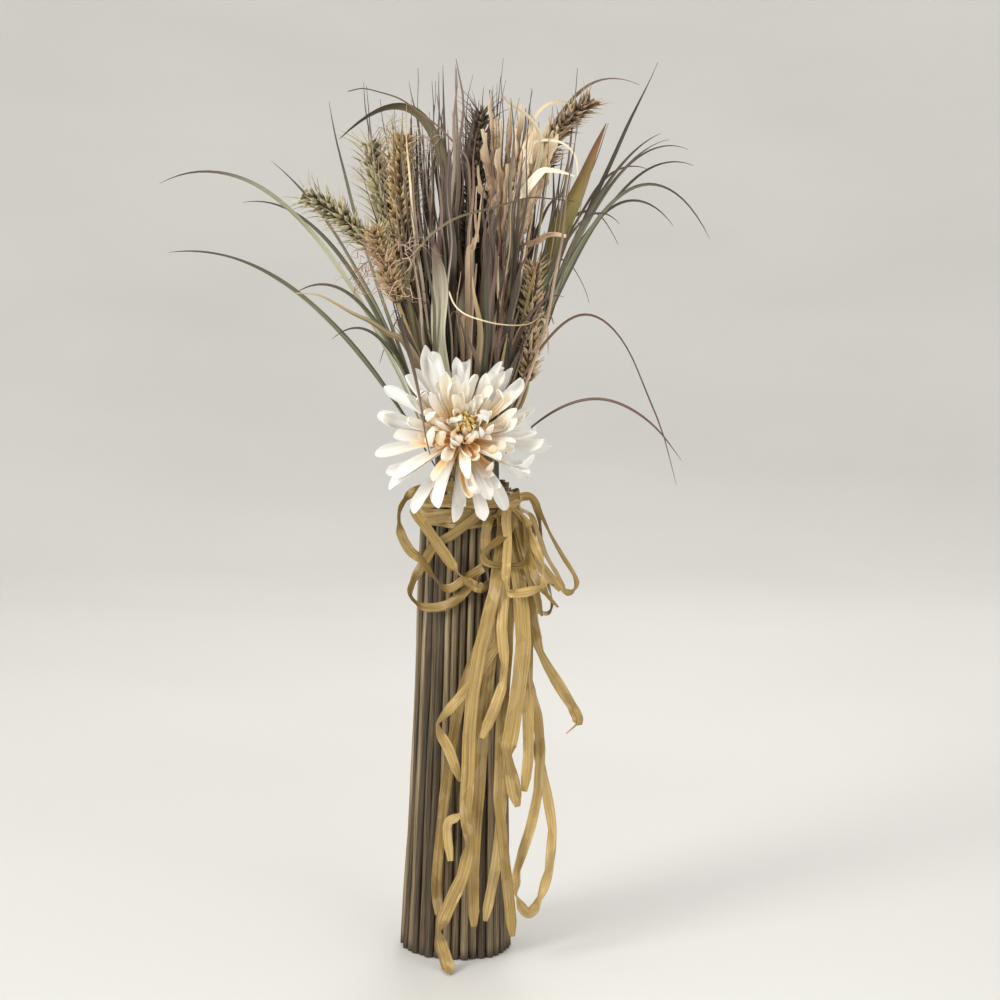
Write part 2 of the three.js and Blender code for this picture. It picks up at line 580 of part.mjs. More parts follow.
function tail(layer, points) {
  const atKnot = KNOT_LAYER - KNOT_PITCH * layer;
  const atFoot = FOOT_LAYER - FOOT_PITCH * layer;
  return points.map(([x, z, y]) => {
    const fallen = THREE.MathUtils.smoothstep(KNOT_LOW - z, 0, FALL);
    return [x, y ?? THREE.MathUtils.lerp(atKnot, atFoot, fallen), z];
  });
}

const TAILS = [
  // name, layer from the stalks outwards, route
  ["raffia_tail_08", 0, [
    [34.5, 287.5], [34.6, 281], [38, 264], [41, 245], [42, 215], [43, 185], [49, 163], [52, 140],
    [51, 113], [47, 90], [39, 62], [39, 44], [47, 33], [54, 43], [59.5, 62], [61, 88], [57, 111],
    [52, 130, -35], [49.5, 150, -34],
  ]],
  ["raffia_tail_03", 1, [
    [32.5, 287.5], [32.4, 281], [30, 264], [26, 245], [14, 215], [2, 182], [-4, 150], [-9, 110],
    [-12, 72], [-13, 50], [-11, 31],
  ]],
  ["raffia_tail_06", 2, [
    [33, 287.5], [33, 281], [31, 264], [29, 245], [27, 205], [28, 155], [28, 105], [25, 64], [19, 28],
  ]],
  ["raffia_tail_13", 3, [[33, 287.5], [34, 281], [44, 264], [62, 244]]],
  ["raffia_tail_09", 4, [
    [31, 287.5], [31.3, 281], [37, 264], [42, 245], [45, 223], [50, 204], [60, 187], [71, 170],
    [75, 160], [68, 152],
  ]],
  ["raffia_tail_04", 5, [
    [30, 287.5], [30, 281], [29, 264], [26, 245], [17, 215], [13, 170], [10, 130], [3, 101], [-6, 93],
    [-6, 82], [-4, 68],
  ]],
  ["raffia_tail_05", 6, [
    [29, 287.5], [29, 281], [28, 264], [26, 245], [19, 205], [15, 160], [13, 110], [11, 74], [11, 50],
    [12, 26],
  ]],
  ["raffia_tail_11", 7, [
    [28, 287.5], [28.3, 281], [33, 264], [36, 245], [40, 210], [43, 170], [44, 138], [42, 115],
  ]],
  ["raffia_tail_07", 8, [
    [27, 287.5], [27.2, 281], [29, 264], [30, 245], [29, 205], [26, 155], [26, 110], [30, 76], [34, 46],
    [37, 21],
  ]],
  ["raffia_tail_01", 9, [
    [26, 287.5], [26, 281], [24, 264], [22, 245], [23, 211], [4, 181], [-14, 158], [-6, 140], [1, 121],
  ]],
  ["raffia_tail_10", 10, [
    [27, 287.5], [27.2, 281], [32, 264], [36, 245], [39, 212], [37, 186], [33, 155], [31, 138],
    [38, 106],
  ]],
  ["raffia_tail_12", 11, [
    [25, 287.5], [25, 281], [26, 264], [26, 245], [25, 220], [28, 192], [22, 170], [14, 150],
  ]],
  ["raffia_tail_02", 12, [
    [24.5, 287.5], [24.5, 281], [23, 264], [20, 245], [12, 208], [8, 180], [6, 152], [6, 126], [5, 104],
    [8, 82], [4, 61], [-4, 42], [-10, 24], [-6, 9], [-3.4, 2.6, -60], [-3, 1.4, -68],
  ]],
  ["raffia_tail_14", 13, [[32, 287.5], [32.6, 281], [37, 268], [42, 254], [47, 240], [50, 229]]],
  ["raffia_tail_15", 14, [[34, 287.5], [34.7, 281], [39.4, 268], [45.5, 254], [53, 243], [60, 235]]],
  ["raffia_loop_front", 15.5, [
    [29, 287.5], [27.5, 280], [19, 273], [12.5, 267], [17, 260.5], [27, 258], [36, 260.5], [39.5, 270],
    [38.5, 280], [38, 287.5],
  ]],
  ["raffia_loop_front_low", 17, [
    [26, 287.5], [27.5, 276], [27, 262, -57.5], [27, 250], [32, 243.5], [41, 243], [48.5, 248], [50.5, 259],
    [47.5, 271], [42, 280.5], [39.5, 287.5],
  ]],
];
for (const [name, layer, points] of TAILS) piece(name, RAFFIA(), ribbon(tail(layer, points), TAIL_FACE));

export default sheaf;
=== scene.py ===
import math

import bpy
import numpy as np
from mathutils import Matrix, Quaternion, Vector


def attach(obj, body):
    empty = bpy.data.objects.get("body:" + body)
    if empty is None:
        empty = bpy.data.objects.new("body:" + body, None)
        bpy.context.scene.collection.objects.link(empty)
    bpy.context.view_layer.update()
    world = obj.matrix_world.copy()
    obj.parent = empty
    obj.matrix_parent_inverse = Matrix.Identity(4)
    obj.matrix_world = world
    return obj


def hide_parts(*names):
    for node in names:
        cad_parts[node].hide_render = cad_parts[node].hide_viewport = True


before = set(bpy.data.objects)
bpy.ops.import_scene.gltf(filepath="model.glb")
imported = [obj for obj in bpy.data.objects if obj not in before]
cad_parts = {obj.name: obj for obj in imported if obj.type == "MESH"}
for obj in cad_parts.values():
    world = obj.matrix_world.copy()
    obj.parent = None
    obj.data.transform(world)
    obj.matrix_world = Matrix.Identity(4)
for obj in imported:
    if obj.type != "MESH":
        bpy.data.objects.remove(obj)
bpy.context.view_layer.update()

# Where the sheaf stands: a pale floor that sweeps up into a wall all round, under soft light from large
# screens. The camera looks from a little above the middle and leans a touch, so that the sheaf leans to
# the right in the picture.
camera = bpy.data.objects.new("camera", bpy.data.cameras.new("camera"))
camera.data.lens = 68.7
camera.data.sensor_width = 36
camera.location = (0.0219, -1.25, 0.385)
camera.rotation_mode = "QUATERNION"
lean = Quaternion((0, 0, 1), math.radians(1.43))
camera.rotation_quaternion = Quaternion((1, 0, 0), math.radians(86)) @ lean
bpy.context.collection.objects.link(camera)
bpy.context.scene.camera = camera
bpy.context.scene.view_settings.view_transform = "Standard"


def screen(name, where, size, power, warmth):
    light = bpy.data.lights.new(name, "AREA")
    light.shape = "DISK"
    light.size = size
    light.energy = power
    light.color = warmth
    lamp = bpy.data.objects.new(name, light)
    lamp.location = where
    lamp.rotation_euler = (Vector((0, 0, 0.35)) - Vector(where)).to_track_quat("-Z", "Y").to_euler()
    bpy.context.collection.objects.link(lamp)


screen("key_light", (-1.6, -1.6, 1.25), 1.0, 42, (1.0, 0.98, 0.94))
screen("fill_light", (1.3, -1.9, 0.8), 1.6, 16, (0.96, 0.98, 1.0))
screen("back_light", (0.4, 2.0, 1.6), 1.4, 12, (1.0, 0.98, 0.95))

world = bpy.data.worlds.new("studio")
world.use_nodes = True
world.node_tree.nodes["Background"].inputs["Color"].default_value = (0.8, 0.79, 0.77, 1)
world.node_tree.nodes["Background"].inputs["Strength"].default_value = 1.02
bpy.context.scene.world = world


def linear(code):
    """A colour from its six-figure code, as the shaders count light"""
    parts = [int(code[i : i + 2], 16) / 255 for i in (0, 2, 4)]
    return [p / 12.92 if p <= 0.04045 else ((p + 0.055) / 1.055) ** 2.4 for p in parts] + [1]


def plaster(name):
    paint = bpy.data.materials.new(name)
    paint.use_nodes = True
    nodes, links = paint.node_tree.nodes, paint.node_tree.links
    shader = nodes["Principled BSDF"]
    shader.inputs["Roughness"].default_value = 0.55
    cloud = nodes.new("ShaderNodeTexNoise")
    cloud.inputs["Scale"].default_value = 9
    ramp = nodes.new("ShaderNodeValToRGB")
    ramp.color_ramp.elements[0].color = linear("d4d3cf")
    ramp.color_ramp.elements[1].color = linear("e4e3e0")
    links.new(cloud.outputs["Fac"], ramp.inputs["Fac"])
    links.new(ramp.outputs["Color"], shader.inputs["Base Color"])
    return paint


SWEEP_START, SWEEP_RADIUS, WALL_TOP = 2.2, 1.5, 2.4
profile = [(0.0, 0.0), (SWEEP_START / 2, 0.0)]
for a in np.linspace(0, math.pi / 2, 17):
    profile.append((SWEEP_START + SWEEP_RADIUS * math.sin(a), SWEEP_RADIUS * (1 - math.cos(a))))
profile.append((SWEEP_START + SWEEP_RADIUS, WALL_TOP))
SPOKES = 96
corners, panels = [], []
for i in range(SPOKES):
    a = 2 * math.pi * i / SPOKES
    corners += [(r * math.cos(a), r * math.sin(a), z) for r, z in profile]
    for j in range(len(profile) - 1):
        this, following = i * len(profile) + j, (i + 1) % SPOKES * len(profile) + j
        panels.append((this, this + 1, following + 1, following))
floor_mesh = bpy.data.meshes.new("floor")
floor_mesh.from_pydata(corners, [], panels)
floor_mesh.polygons.foreach_set("use_smooth", [True] * len(panels))
floor = bpy.data.objects.new("floor", floor_mesh)
bpy.context.collection.objects.link(floor)
floor_mesh.materials.append(plaster("floor_plaster"))

# The tails: fifteen strips of raffia, a palm leaf's skin split into ribbons about 7 mm wide. They hang
# limp from the knot over the front of the stalks, creased and half twisted, with cut ends, and one of
# them reaches the floor and lies on it with its tip.
MM = 0.001
RAFFIA_THICKNESS = 0.3
TAIL_FACE = np.array([0, -0.944, 0.33])


def chance(n):
    s = math.sin(n * 12.9898) * 43758.5453
    return s - math.floor(s)


def spread(n, amount):
    return (chance(n) - 0.5) * 2 * amount


def wander(length, seed, wavelength):
    """A smooth number from -1 to 1 that changes over a wavelength in mm"""
    at = length / wavelength + seed * 7.3
    return 0.6 * np.sin(at * 6.28) + 0.4 * np.sin(at * 2.37 * 6.28 + seed)


def through(points, each):
    """A smooth line through given points, with this many steps between each two"""
    p = np.array(points, float)
    p = np.vstack([2 * p[0] - p[1], p, 2 * p[-1] - p[-2]])
    line = []
    for a, b, c, d in zip(p, p[1:], p[2:], p[3:]):
        for t in np.arange(each) / each:
            square = (2 * a - 5 * b + 4 * c - d) * t**2 + (-a + 3 * b - 3 * c + d) * t**3
            line.append(b + 0.5 * ((c - a) * t + square))
    line.append(p[-2])
    return np.array(line)


def unit(v):
    return v / np.maximum(np.linalg.norm(v, axis=-1, keepdims=True), 1e-9)


def along(line):
    """How far each point lies from the start of a line, in mm"""
    return np.concatenate([[0], np.cumsum(np.linalg.norm(np.diff(line, axis=0), axis=1))])


class Skin:
    """Gathers the closed skins of one piece in mm, with what its finish reads at each point: its place
    across and along the fibres, a tone of its own, and how far it lies from root to tip."""

    def __init__(self, finish):
        self.finish = finish
        self.points, self.faces, self.finishes = [], [], []
        self.fibre, self.tone, self.reach = [], [], []
        self.count = 0

    def sweep(self, line, side, sections, tone, finish=None):
        """Carries a closed section along a line, in the piece's own finish or another one. Sections are
        (steps, corners, 2), in mm across the side and over it."""
        line = np.asarray(line, float)
        ahead = unit(np.gradient(line, axis=0))
        over = unit(np.cross(np.broadcast_to(side, line.shape), ahead))
        across = np.cross(ahead, over)
        steps, corners = sections.shape[:2]
        rings = line[:, None] + across[:, None] * sections[..., :1] + over[:, None] * sections[..., 1:]
        length = along(line)
        self.points.append(rings.reshape(-1, 3))
        place = np.concatenate([sections, np.repeat(length[:, None, None], corners, 1)], axis=2)
        self.fibre.append(place.reshape(-1, 3))
        self.tone.append(np.full(steps * corners, tone))
        self.reach.append(np.repeat(length / length[-1], corners))
        first = self.count
        for i in range(steps - 1):
            for j in range(corners):
                a, b = first + i * corners + j, first + i * corners + (j + 1) % corners
                self.faces.append((a, b, b + corners, a + corners))
        last = first + (steps - 1) * corners
        self.faces.append(tuple(range(first + corners - 1, first - 1, -1)))
        self.faces.append(tuple(range(last, last + corners)))
        self.finishes += [finish or self.finish] * ((steps - 1) * corners + 2)
        self.count += steps * corners

    def piece(self, name):
        """Makes the piece, which stands for the node of its name and rides with the sheaf"""
        mesh = bpy.data.meshes.new(name)
        mesh.from_pydata((np.vstack(self.points) * MM).tolist(), [], self.faces)
        order = {finish: i for i, finish in enumerate(dict.fromkeys([self.finish, *self.finishes]))}
        for finish in order:
            mesh.materials.append(finish)
        mesh.polygons.foreach_set("material_index", [order[finish] for finish in self.finishes])
        mesh.polygons.foreach_set("use_smooth", [True] * len(self.faces))
        mesh.set_sharp_from_angle(angle=math.radians(55))
        fibre = mesh.attributes.new("fibre", "FLOAT_VECTOR", "POINT")
        fibre.data.foreach_set("vector", np.vstack(self.fibre).ravel())
        for label, values in (("tone", self.tone), ("reach", self.reach)):
            mesh.attributes.new(label, "FLOAT", "POINT").data.foreach_set("value", np.concatenate(values))
        thing = bpy.data.objects.new(name, mesh)
        bpy.context.collection.objects.link(thing)
        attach(thing, "root")
        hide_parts(name)
        return thing


FACETS_PER_MM = (0.2, 0.2, 0.09)


def fibrous(
    name, shades, fibre=0.5, run=14, root=None, tip=None, bump=0.25, roughness=0.7, sheen=0.0,
    crumple=0.0, glow=0.0,
):
    """A dry plant finish: streaks that run with the fibres, from the first shade to the last, each blade in
    a tone of its own. root and tip are (colour, share of the length that it fades over), and crumple
    is how far the facets of a crushed skin tip to one side or the other."""
    paint = bpy.data.materials.new(name)
    paint.use_nodes = True
    nodes, links = paint.node_tree.nodes, paint.node_tree.links
    shader = nodes["Principled BSDF"]
    shader.inputs["Roughness"].default_value = roughness
    shader.inputs["Sheen Weight"].default_value = sheen
    shader.inputs["Subsurface Weight"].default_value = glow
    shader.inputs["Subsurface Radius"].default_value = (1, 0.85, 0.7)
    shader.inputs["Subsurface Scale"].default_value = 0.003

    def read(label, output):
        attribute = nodes.new("ShaderNodeAttribute")
        attribute.attribute_name = label
        return attribute.outputs[output]

    def maths(kind, operation, *values):
        """A step of sums, fed with plain numbers or with what other nodes give"""
        step = nodes.new(kind)
        step.operation = operation
        for socket, value in zip(step.inputs, values):
            if isinstance(value, (float, tuple)):
                socket.default_value = value
            else:
                links.new(value, socket)
        return step.outputs[0]

    def texture(kind, place, scale):
        made = nodes.new(kind)
        made.inputs["Scale"].default_value = scale
        links.new(place, made.inputs["Vector"])
        return made

    place, tone, reach = read("fibre", "Vector"), read("tone", "Fac"), read("reach", "Fac")
    shift = maths("ShaderNodeVectorMath", "MULTIPLY", tone, (31.0, 17.0, 53.0))
    apart = maths("ShaderNodeVectorMath", "MULTIPLY_ADD", place, (1 / fibre, 1 / fibre, 1 / run), shift)
    streak = texture("ShaderNodeTexNoise", apart, 1)
    streak.inputs["Detail"].default_value = 4
    streak.inputs["Roughness"].default_value = 0.6
    cloud = texture("ShaderNodeTexNoise", apart, 0.22)
    blend = maths("ShaderNodeMath", "MULTIPLY_ADD", cloud.outputs["Fac"], 0.5, -0.87)
    blend = maths("ShaderNodeMath", "MULTIPLY_ADD", tone, 0.75, blend)
    blend = maths("ShaderNodeMath", "MULTIPLY_ADD", streak.outputs["Fac"], 1.5, blend)
    ramp = nodes.new("ShaderNodeValToRGB")
    stops = ramp.color_ramp.elements
    for i, shade in enumerate(shades):
        stop = stops[i] if i < 2 else stops.new(1.0)
        stop.position = i / (len(shades) - 1)
        stop.color = linear(shade)
    links.new(blend, ramp.inputs["Fac"])
    colour = ramp.outputs["Color"]
    for fade, at_start, at_end in ((root, 1, 0), (tip, 0, 1)):
        if fade is None:
            continue
        shade, share = fade
        start = 0 if at_start else 1 - share
        part = nodes.new("ShaderNodeMapRange")
        part.interpolation_type = "SMOOTHSTEP"
        part.inputs["From Min"].default_value = start
        part.inputs["From Max"].default_value = start + share
        part.inputs["To Min"].default_value = at_start
        part.inputs["To Max"].default_value = at_end
        links.new(reach, part.inputs["Value"])
        mix = nodes.new("ShaderNodeMix")
        mix.data_type = "RGBA"
        links.new(part.outputs["Result"], mix.inputs["Factor"])
        links.new(colour, mix.inputs[6])
        mix.inputs[7].default_value = linear(shade)
        colour = mix.outputs[2]
    links.new(colour, shader.inputs["Base Color"])
    ridge = nodes.new("ShaderNodeBump")
    ridge.inputs["Strength"].default_value = bump
    ridge.inputs["Distance"].default_value = 0.0004
    links.new(streak.outputs["Fac"], ridge.inputs["Height"])
    links.new(ridge.outputs["Normal"], shader.inputs["Normal"])
    if crumple:
        surface = nodes.new("ShaderNodeNewGeometry").outputs["Normal"]
        spot = maths("ShaderNodeVectorMath", "MULTIPLY_ADD", place, FACETS_PER_MM, shift)
        facet = texture("ShaderNodeTexVoronoi", spot, 1).outputs["Color"]
        tipped = maths("ShaderNodeVectorMath", "MULTIPLY_ADD", facet, (crumple,) * 3, surface)
        centred = maths("ShaderNodeVectorMath", "SUBTRACT", tipped, (0.5 * crumple,) * 3)
        links.new(maths("ShaderNodeVectorMath", "NORMALIZE", centred), ridge.inputs["Normal"])
    return paint


def strip(half, thickness, cup, ridges=0.0, phase=0.0, corners=9):
    """The section of a thin strip at each step: cupped, with fine lengthwise pleats"""
    half = np.asarray(half, float)[:, None]
    s = np.linspace(-1, 1, corners)[None]
    cup = np.broadcast_to(np.asarray(cup, float).reshape(-1, 1), half.shape)
    rise = cup * s**2 + ridges * np.cos(s * 7 + phase) * (1 - 0.4 * s**2)
    thick = np.asarray(thickness, float).reshape(-1, 1) * (1 - 0.6 * s**4) / 2
    top = np.stack([half * s, rise + thick], axis=2)
    under = np.stack([half * s, rise - thick], axis=2)[:, ::-1]
    return np.concatenate([top, under], axis=1)


EACH = 10  # steps between two points of a line
CLOSE = 16.5  # points that lie nearer than this, in mm, bend the strip slowly, and others crease it
TAPER = 0.45  # share of the way to the next crease over which the strip opens out


def creased(points, sharp=0.8):
    """A line through given points, which runs nearly straight between those that stand far apart"""
    p = np.array(points, float)
    t = (np.arange(EACH) / EACH)[:, None]
    straight = np.vstack([a + (b - a) * t for a, b in zip(p, p[1:])] + [p[-1:]])
    gaps = np.linalg.norm(np.diff(p, axis=0), axis=1)
    crisp = np.repeat(sharp * np.clip((gaps - 13) / 14, 0, 1), EACH)
    crisp = np.append(crisp, 0)[:, None]
    return through(points, EACH) * (1 - crisp) + straight * crisp


def raffia_ribbon(skin, line, face, seed, width, turned, tip_turned):
    """A flat strip of raffia along a creased line. It lies open between two creases, or turned on its edge
    by so many degrees, turns on its edge where it bends, and lies flat again on the floor."""
    length = along(line)
    chords = np.diff(line[::EACH], axis=0)
    gaps, chords = np.linalg.norm(chords, axis=1), unit(chords)
    bends = np.degrees(np.arccos(np.clip((chords[:-1] * chords[1:]).sum(axis=1), -1, 1)))
    marks, tilts = [0, TAPER], [0, 0]
    way = 1 if chance(seed * 7) < 0.5 else -1
    for k, bend in enumerate(bends, 1):
        loose = min(k / 3, 1)
        if turned:
            marks += [k, k + 0.5]
            tilts += [turned * loose, (turned + spread(seed * 17 + k, 22)) * loose]
        elif max(gaps[k - 1], gaps[k]) < CLOSE:
            slow = way * (34 + 44 * math.sin(k * 1.5 + seed))
            marks += [k, k + 0.5]
            tilts += [slow * loose, slow * loose]
        else:
            way = way if chance(seed * 7 + k) < 0.5 else -way
            open_flat = spread(seed * 17 + k, 24) * loose
            # among the first few creases below the knot the strips lie packed and fold less
            folded = way * min(max(bend - 6, 0) * 4.5, 80) * (loose if k > 5 else 0.3)
            marks += [k, k + TAPER, k + 1 - TAPER]
            tilts += [folded, open_flat, open_flat]
    if tip_turned:
        marks, tilts = marks + [len(chords) - 0.9], tilts + [tip_turned]
    tilts = np.radians(tilts)
    # the strip's edges run straight into a fold, so it is what it loses in width that changes evenly
    lost = np.interp(np.arange(len(line)) / EACH, marks, np.sign(tilts) * (1 - np.cos(tilts)))
    off_floor = np.clip((line[:, 2] - 4) / 20, 0, 1)
    angle = np.sign(lost) * np.arccos(1 - np.abs(lost)) * off_floor
    ahead = unit(np.gradient(line, axis=0))
    side = unit(np.cross(ahead, np.broadcast_to(face, line.shape)))
    over = np.cross(ahead, side)
    side = side * np.cos(angle)[:, None] + over * np.sin(angle)[:, None]
    half = width / 2 * (1 + 0.05 * wander(length, seed + 3, 70))
    half = half * np.interp(length[-1] - length, [0, 9], [0.2 + 0.55 * chance(seed + 4), 1])
    cup = 0.22 * wander(length, seed + 5, 45) * off_floor
    pleats = 0.03 * (1.2 + wander(length, seed + 9, 40))[:, None]
    tone = 0.05 + 0.9 * chance(seed)
    skin.sweep(line, side, strip(half, RAFFIA_THICKNESS, cup, pleats, seed, 11), tone)


raffia = fibrous(
    "raffia_skin", ["5f4a20", "8d733b", "ad9054", "cbb078"], fibre=0.5, run=50, bump=0.12, roughness=0.45,
    sheen=0.1, crumple=0.6,
)

# Each tail hangs in a layer of its own: how deep the innermost one lies at the knot and lower down, how
# far each lies before the last, and over what height they fall from one depth to the other.
KNOT_CENTRE = np.array([28.1, -26.2, 297])
KNOT_LAYER, FOOT_LAYER = -20.5, -38
KNOT_PITCH, FOOT_PITCH = 1.05, 1.5
KNOT_LOW, FALL = 288, 43
FIRST_HEIGHT = 296


def hang(layer, points):
    """A tail's points, from inside the knot down, in its layer from the stalks outwards"""
    near, far = KNOT_LAYER - KNOT_PITCH * layer, FOOT_LAYER - FOOT_PITCH * layer
    hung = [(0.5 * (points[0][0] + KNOT_CENTRE[0]), 0.4 * near + 0.6 * KNOT_CENTRE[1], FIRST_HEIGHT)]
    for x, z, *set_by_hand in points:
        t = min(max((KNOT_LOW - z) / FALL, 0), 1)
        y = near + (far - near) * t * t * (3 - 2 * t)
        hung.append((x, set_by_hand[0] if set_by_hand else y, z))
    return hung


TAILS = [
    # name, layer, width in mm, points as [across, height] and at the floor a third, depth
    ("raffia_tail_08", 0, 6.5, [
        [34.5, 287.5], [34.6, 281], [38, 264], [41, 245], [42, 215], [43, 185], [49, 163], [52, 140],
        [51, 113], [47, 90], [39, 62], [39, 44], [47, 33], [54, 43], [59.5, 62], [61, 88], [57, 111],
        [52, 130, -35], [49.5, 150, -34],
    ]),
    ("raffia_tail_03", 1, 6.5, [
        [32.5, 287.5], [32.4, 281], [30, 264], [26, 245], [14, 215], [2, 182], [-4, 150], [-9, 110],
        [-12, 72], [-13, 50], [-11, 31],
    ]),
    ("raffia_tail_06", 2, 6.5, [
        [33, 287.5], [33, 281], [31, 264], [29, 245], [27, 205], [28, 155], [28, 105], [25, 64], [19, 28],
    ]),
    ("raffia_tail_13", 3, 6.5, [[33, 287.5], [34, 281], [44, 264], [62, 244]]),
    ("raffia_tail_09", 4, 7, [
        [31, 287.5], [31.3, 281], [37, 264], [42, 245], [45, 223], [50, 204], [60, 187], [71, 170], [75, 160],
        [68, 152],
    ]),
    ("raffia_tail_04", 5, 6, [
        [30, 287.5], [30, 281], [29, 264], [26, 245], [17, 215], [13, 170], [10, 130], [3, 101], [-6, 93],
        [-6, 82], [-4, 68],
    ]),
    ("raffia_tail_05", 6, 7.5, [
        [29, 287.5], [29, 281], [28, 264], [26, 245], [19, 205], [15, 160], [13, 110], [11, 74], [11, 50],
        [12, 26],
    ]),
    ("raffia_tail_11", 7, 7, [
        [28, 287.5], [28.3, 281], [33, 264], [36, 245], [40, 210], [43, 170], [44, 138], [42, 115],
    ]),
    ("raffia_tail_07", 8, 7, [
        [27, 287.5], [27.2, 281], [29, 264], [30, 245], [29, 205], [26, 155], [26, 110], [30, 76], [34, 46],
        [37, 21],
    ]),
    ("raffia_tail_01", 9, 6.5, [
        [26, 287.5], [26, 281], [24, 264], [22, 245], [23, 211], [4, 181], [-14, 158], [-6, 140], [1, 121],
    ]),
    ("raffia_tail_10", 10, 10, [
        [27, 287.5], [27.2, 281], [32, 264], [36, 245], [39, 212], [37, 186], [33, 155], [31, 138], [38, 106],
    ]),
    ("raffia_tail_12", 11, 7, [
        [25, 287.5], [25, 281], [26, 264], [26, 245], [25, 220], [28, 192], [22, 170], [14, 150],
    ]),
    ("raffia_tail_02", 12, 8.5, [
        [24.5, 287.5], [24.5, 281], [23, 264], [20, 245], [12, 208], [8, 180], [6, 152], [6, 126], [5, 104],
        [8, 82], [4, 61], [-4, 42], [-10, 24], [-6, 9], [-3.4, 2.6, -60], [-3, 1.4, -68],
    ]),
    ("raffia_tail_14", 13, 6, [[32, 287.5], [32.6, 281], [37, 268], [42, 254], [47, 240], [50, 229]]),
    ("raffia_tail_15", 14, 6, [[34, 287.5], [34.7, 281], [39.4, 268], [45.5, 254], [53, 243], [60, 235]]),
]


def raffia_strand(name, line, face, seed, width, turned=0, tip_turned=0):
    """One strip as a piece of its own"""
    skin = Skin(raffia)
    raffia_ribbon(skin, line, face, seed, width, turned, tip_turned)
    strand = skin.piece(name)


FIRST_TAIL_SEED = 11
HOOKED_TAIL, HOOK_TILT = "raffia_tail_09", 76
for seed, (name, layer, width, points) in enumerate(TAILS, FIRST_TAIL_SEED):
    tip_turned = HOOK_TILT if name == HOOKED_TAIL else 0
    line = creased(hang(layer, points))
    raffia_strand(name, line, TAIL_FACE, seed, width, tip_turned=tip_turned)

# The loops of the bow: seven more strips of raffia that leave the knot, swing out and come back into it,
# three on the left in front of the stalks, two on the right beside them and two over the tails.
LOOP_FACE = np.array([0, -1, 0])
LOOPS = [
    # name, width, degrees that it is turned on its edge, seed, points
    ("raffia_loop_left_high", 6, 0, 67, [
        [20.4, -31, 305.9], [14, -35.5, 306.2], [3, -37.3, 308], [-14, -37.3, 308], [-30.5, -36.5, 305.5],
        [-38.5, -36.5, 299], [-42.3, -37, 289.7], [-41, -37.3, 278], [-35, -37.3, 266.8],
        [-27.2, -37.3, 260.3], [-19.4, -37.3, 249.8], [-10.2, -37.3, 242.6], [0.9, -37.3, 249.1],
        [12.7, -37, 257.6], [15, -36, 266], [14.4, -34, 280], [16.5, -32.4, 290], [20.3, -31.6, 290.5],
    ]),
    ("raffia_loop_left_mid", 6.8, 0, 70, [
        [21.6, -34.6, 298.4], [14, -38, 298], [4, -40.6, 298.5], [-14, -41, 299.5], [-27, -41, 298],
        [-32, -41, 292.5], [-24, -41, 281], [-10.9, -41, 262.9], [-4.3, -41, 253.7], [2.3, -41, 248.5],
        [8.8, -41, 244.5], [14, -41, 245], [15.4, -41, 250], [14, -40.6, 259], [13.4, -39.3, 269],
        [13.6, -36.8, 280], [15, -35.4, 288], [20.6, -34.2, 290.5],
    ]),
    ("raffia_loop_left_low", 6.2, 0, 59, [
        [20.7, -33.2, 298.4], [14, -33.6, 298], [6, -34, 288], [-7.6, -34.2, 277.3],
        [-19.4, -34.3, 269.4], [-25.9, -34.3, 258.3], [-32.4, -34.3, 246.5], [-33.6, -34.3, 236.5],
        [-24.5, -34.3, 229.8], [-9.5, -34.3, 232], [2.3, -34.3, 242], [8.8, -34.2, 251.7],
        [12.3, -33.8, 263], [13.6, -32.2, 274], [14.6, -31.1, 285], [16.4, -30.4, 293],
        [19.9, -29.6, 294],
    ]),
    ("raffia_loop_right", 5.6, 62, 44, [
        [36.4, -24.6, 302], [43, -28, 301], [48.8, -31, 290.5], [59.2, -34, 270.7], [70.4, -35, 253.7],
        [72.3, -35, 246.5], [69, -35, 242], [64.5, -35, 243], [61.5, -35, 249.5], [58.5, -34.6, 255.4],
        [51.4, -33, 266.8], [46, -30, 281], [42, -27, 290.5], [36.4, -24.6, 293],
    ]),
    ("raffia_loop_right_low", 5.4, 68, 45, [
        [36.9, -22.2, 301.5], [43, -22.4, 300], [48, -24, 285], [50, -27, 262], [54.7, -28.5, 245],
        [57, -28.5, 234], [55, -28.5, 227.5], [48.8, -28.5, 228], [42.2, -28.5, 231.5], [39, -28, 241],
        [41, -25.5, 258], [44.5, -23, 276], [42, -22.2, 289], [36.9, -22.2, 293],
    ]),
]
for name, width, turned, seed, points in LOOPS:
    # both ends lie inside the knot, most of the way to its middle
    ends = [0.7 * KNOT_CENTRE + 0.3 * np.array(points[i]) for i in (0, -1)]
    line = creased([ends[0], *points, ends[1]], 0.75)
    raffia_strand(name, line, LOOP_FACE, seed, width, turned)

FRONT_LOOP_WIDTH = 6
FRONT_LOOPS = [
    # name, layer, degrees that it is turned on its edge, seed, points as the tails have them
    ("raffia_loop_front", 15.5, 58, 51, [
        [29, 287.5], [27.5, 280], [12.5, 267], [17, 260.5], [36, 260.5], [39.5, 270], [38, 287.5],
    ]),
    ("raffia_loop_front_low", 17, 0, 52, [
        [26, 287.5], [27.5, 276], [27, 262, -57.5], [27, 250], [32, 243.5], [48.5, 248], [50.5, 259],
        [41, 280.5], [38, 287.5],
    ]),
]
for name, layer, turned, seed, points in FRONT_LOOPS:
    points = hang(layer, points)
    line = creased([*points, points[0]], 0.7)
    raffia_strand(name, line, TAIL_FACE, seed, FRONT_LOOP_WIDTH, turned)

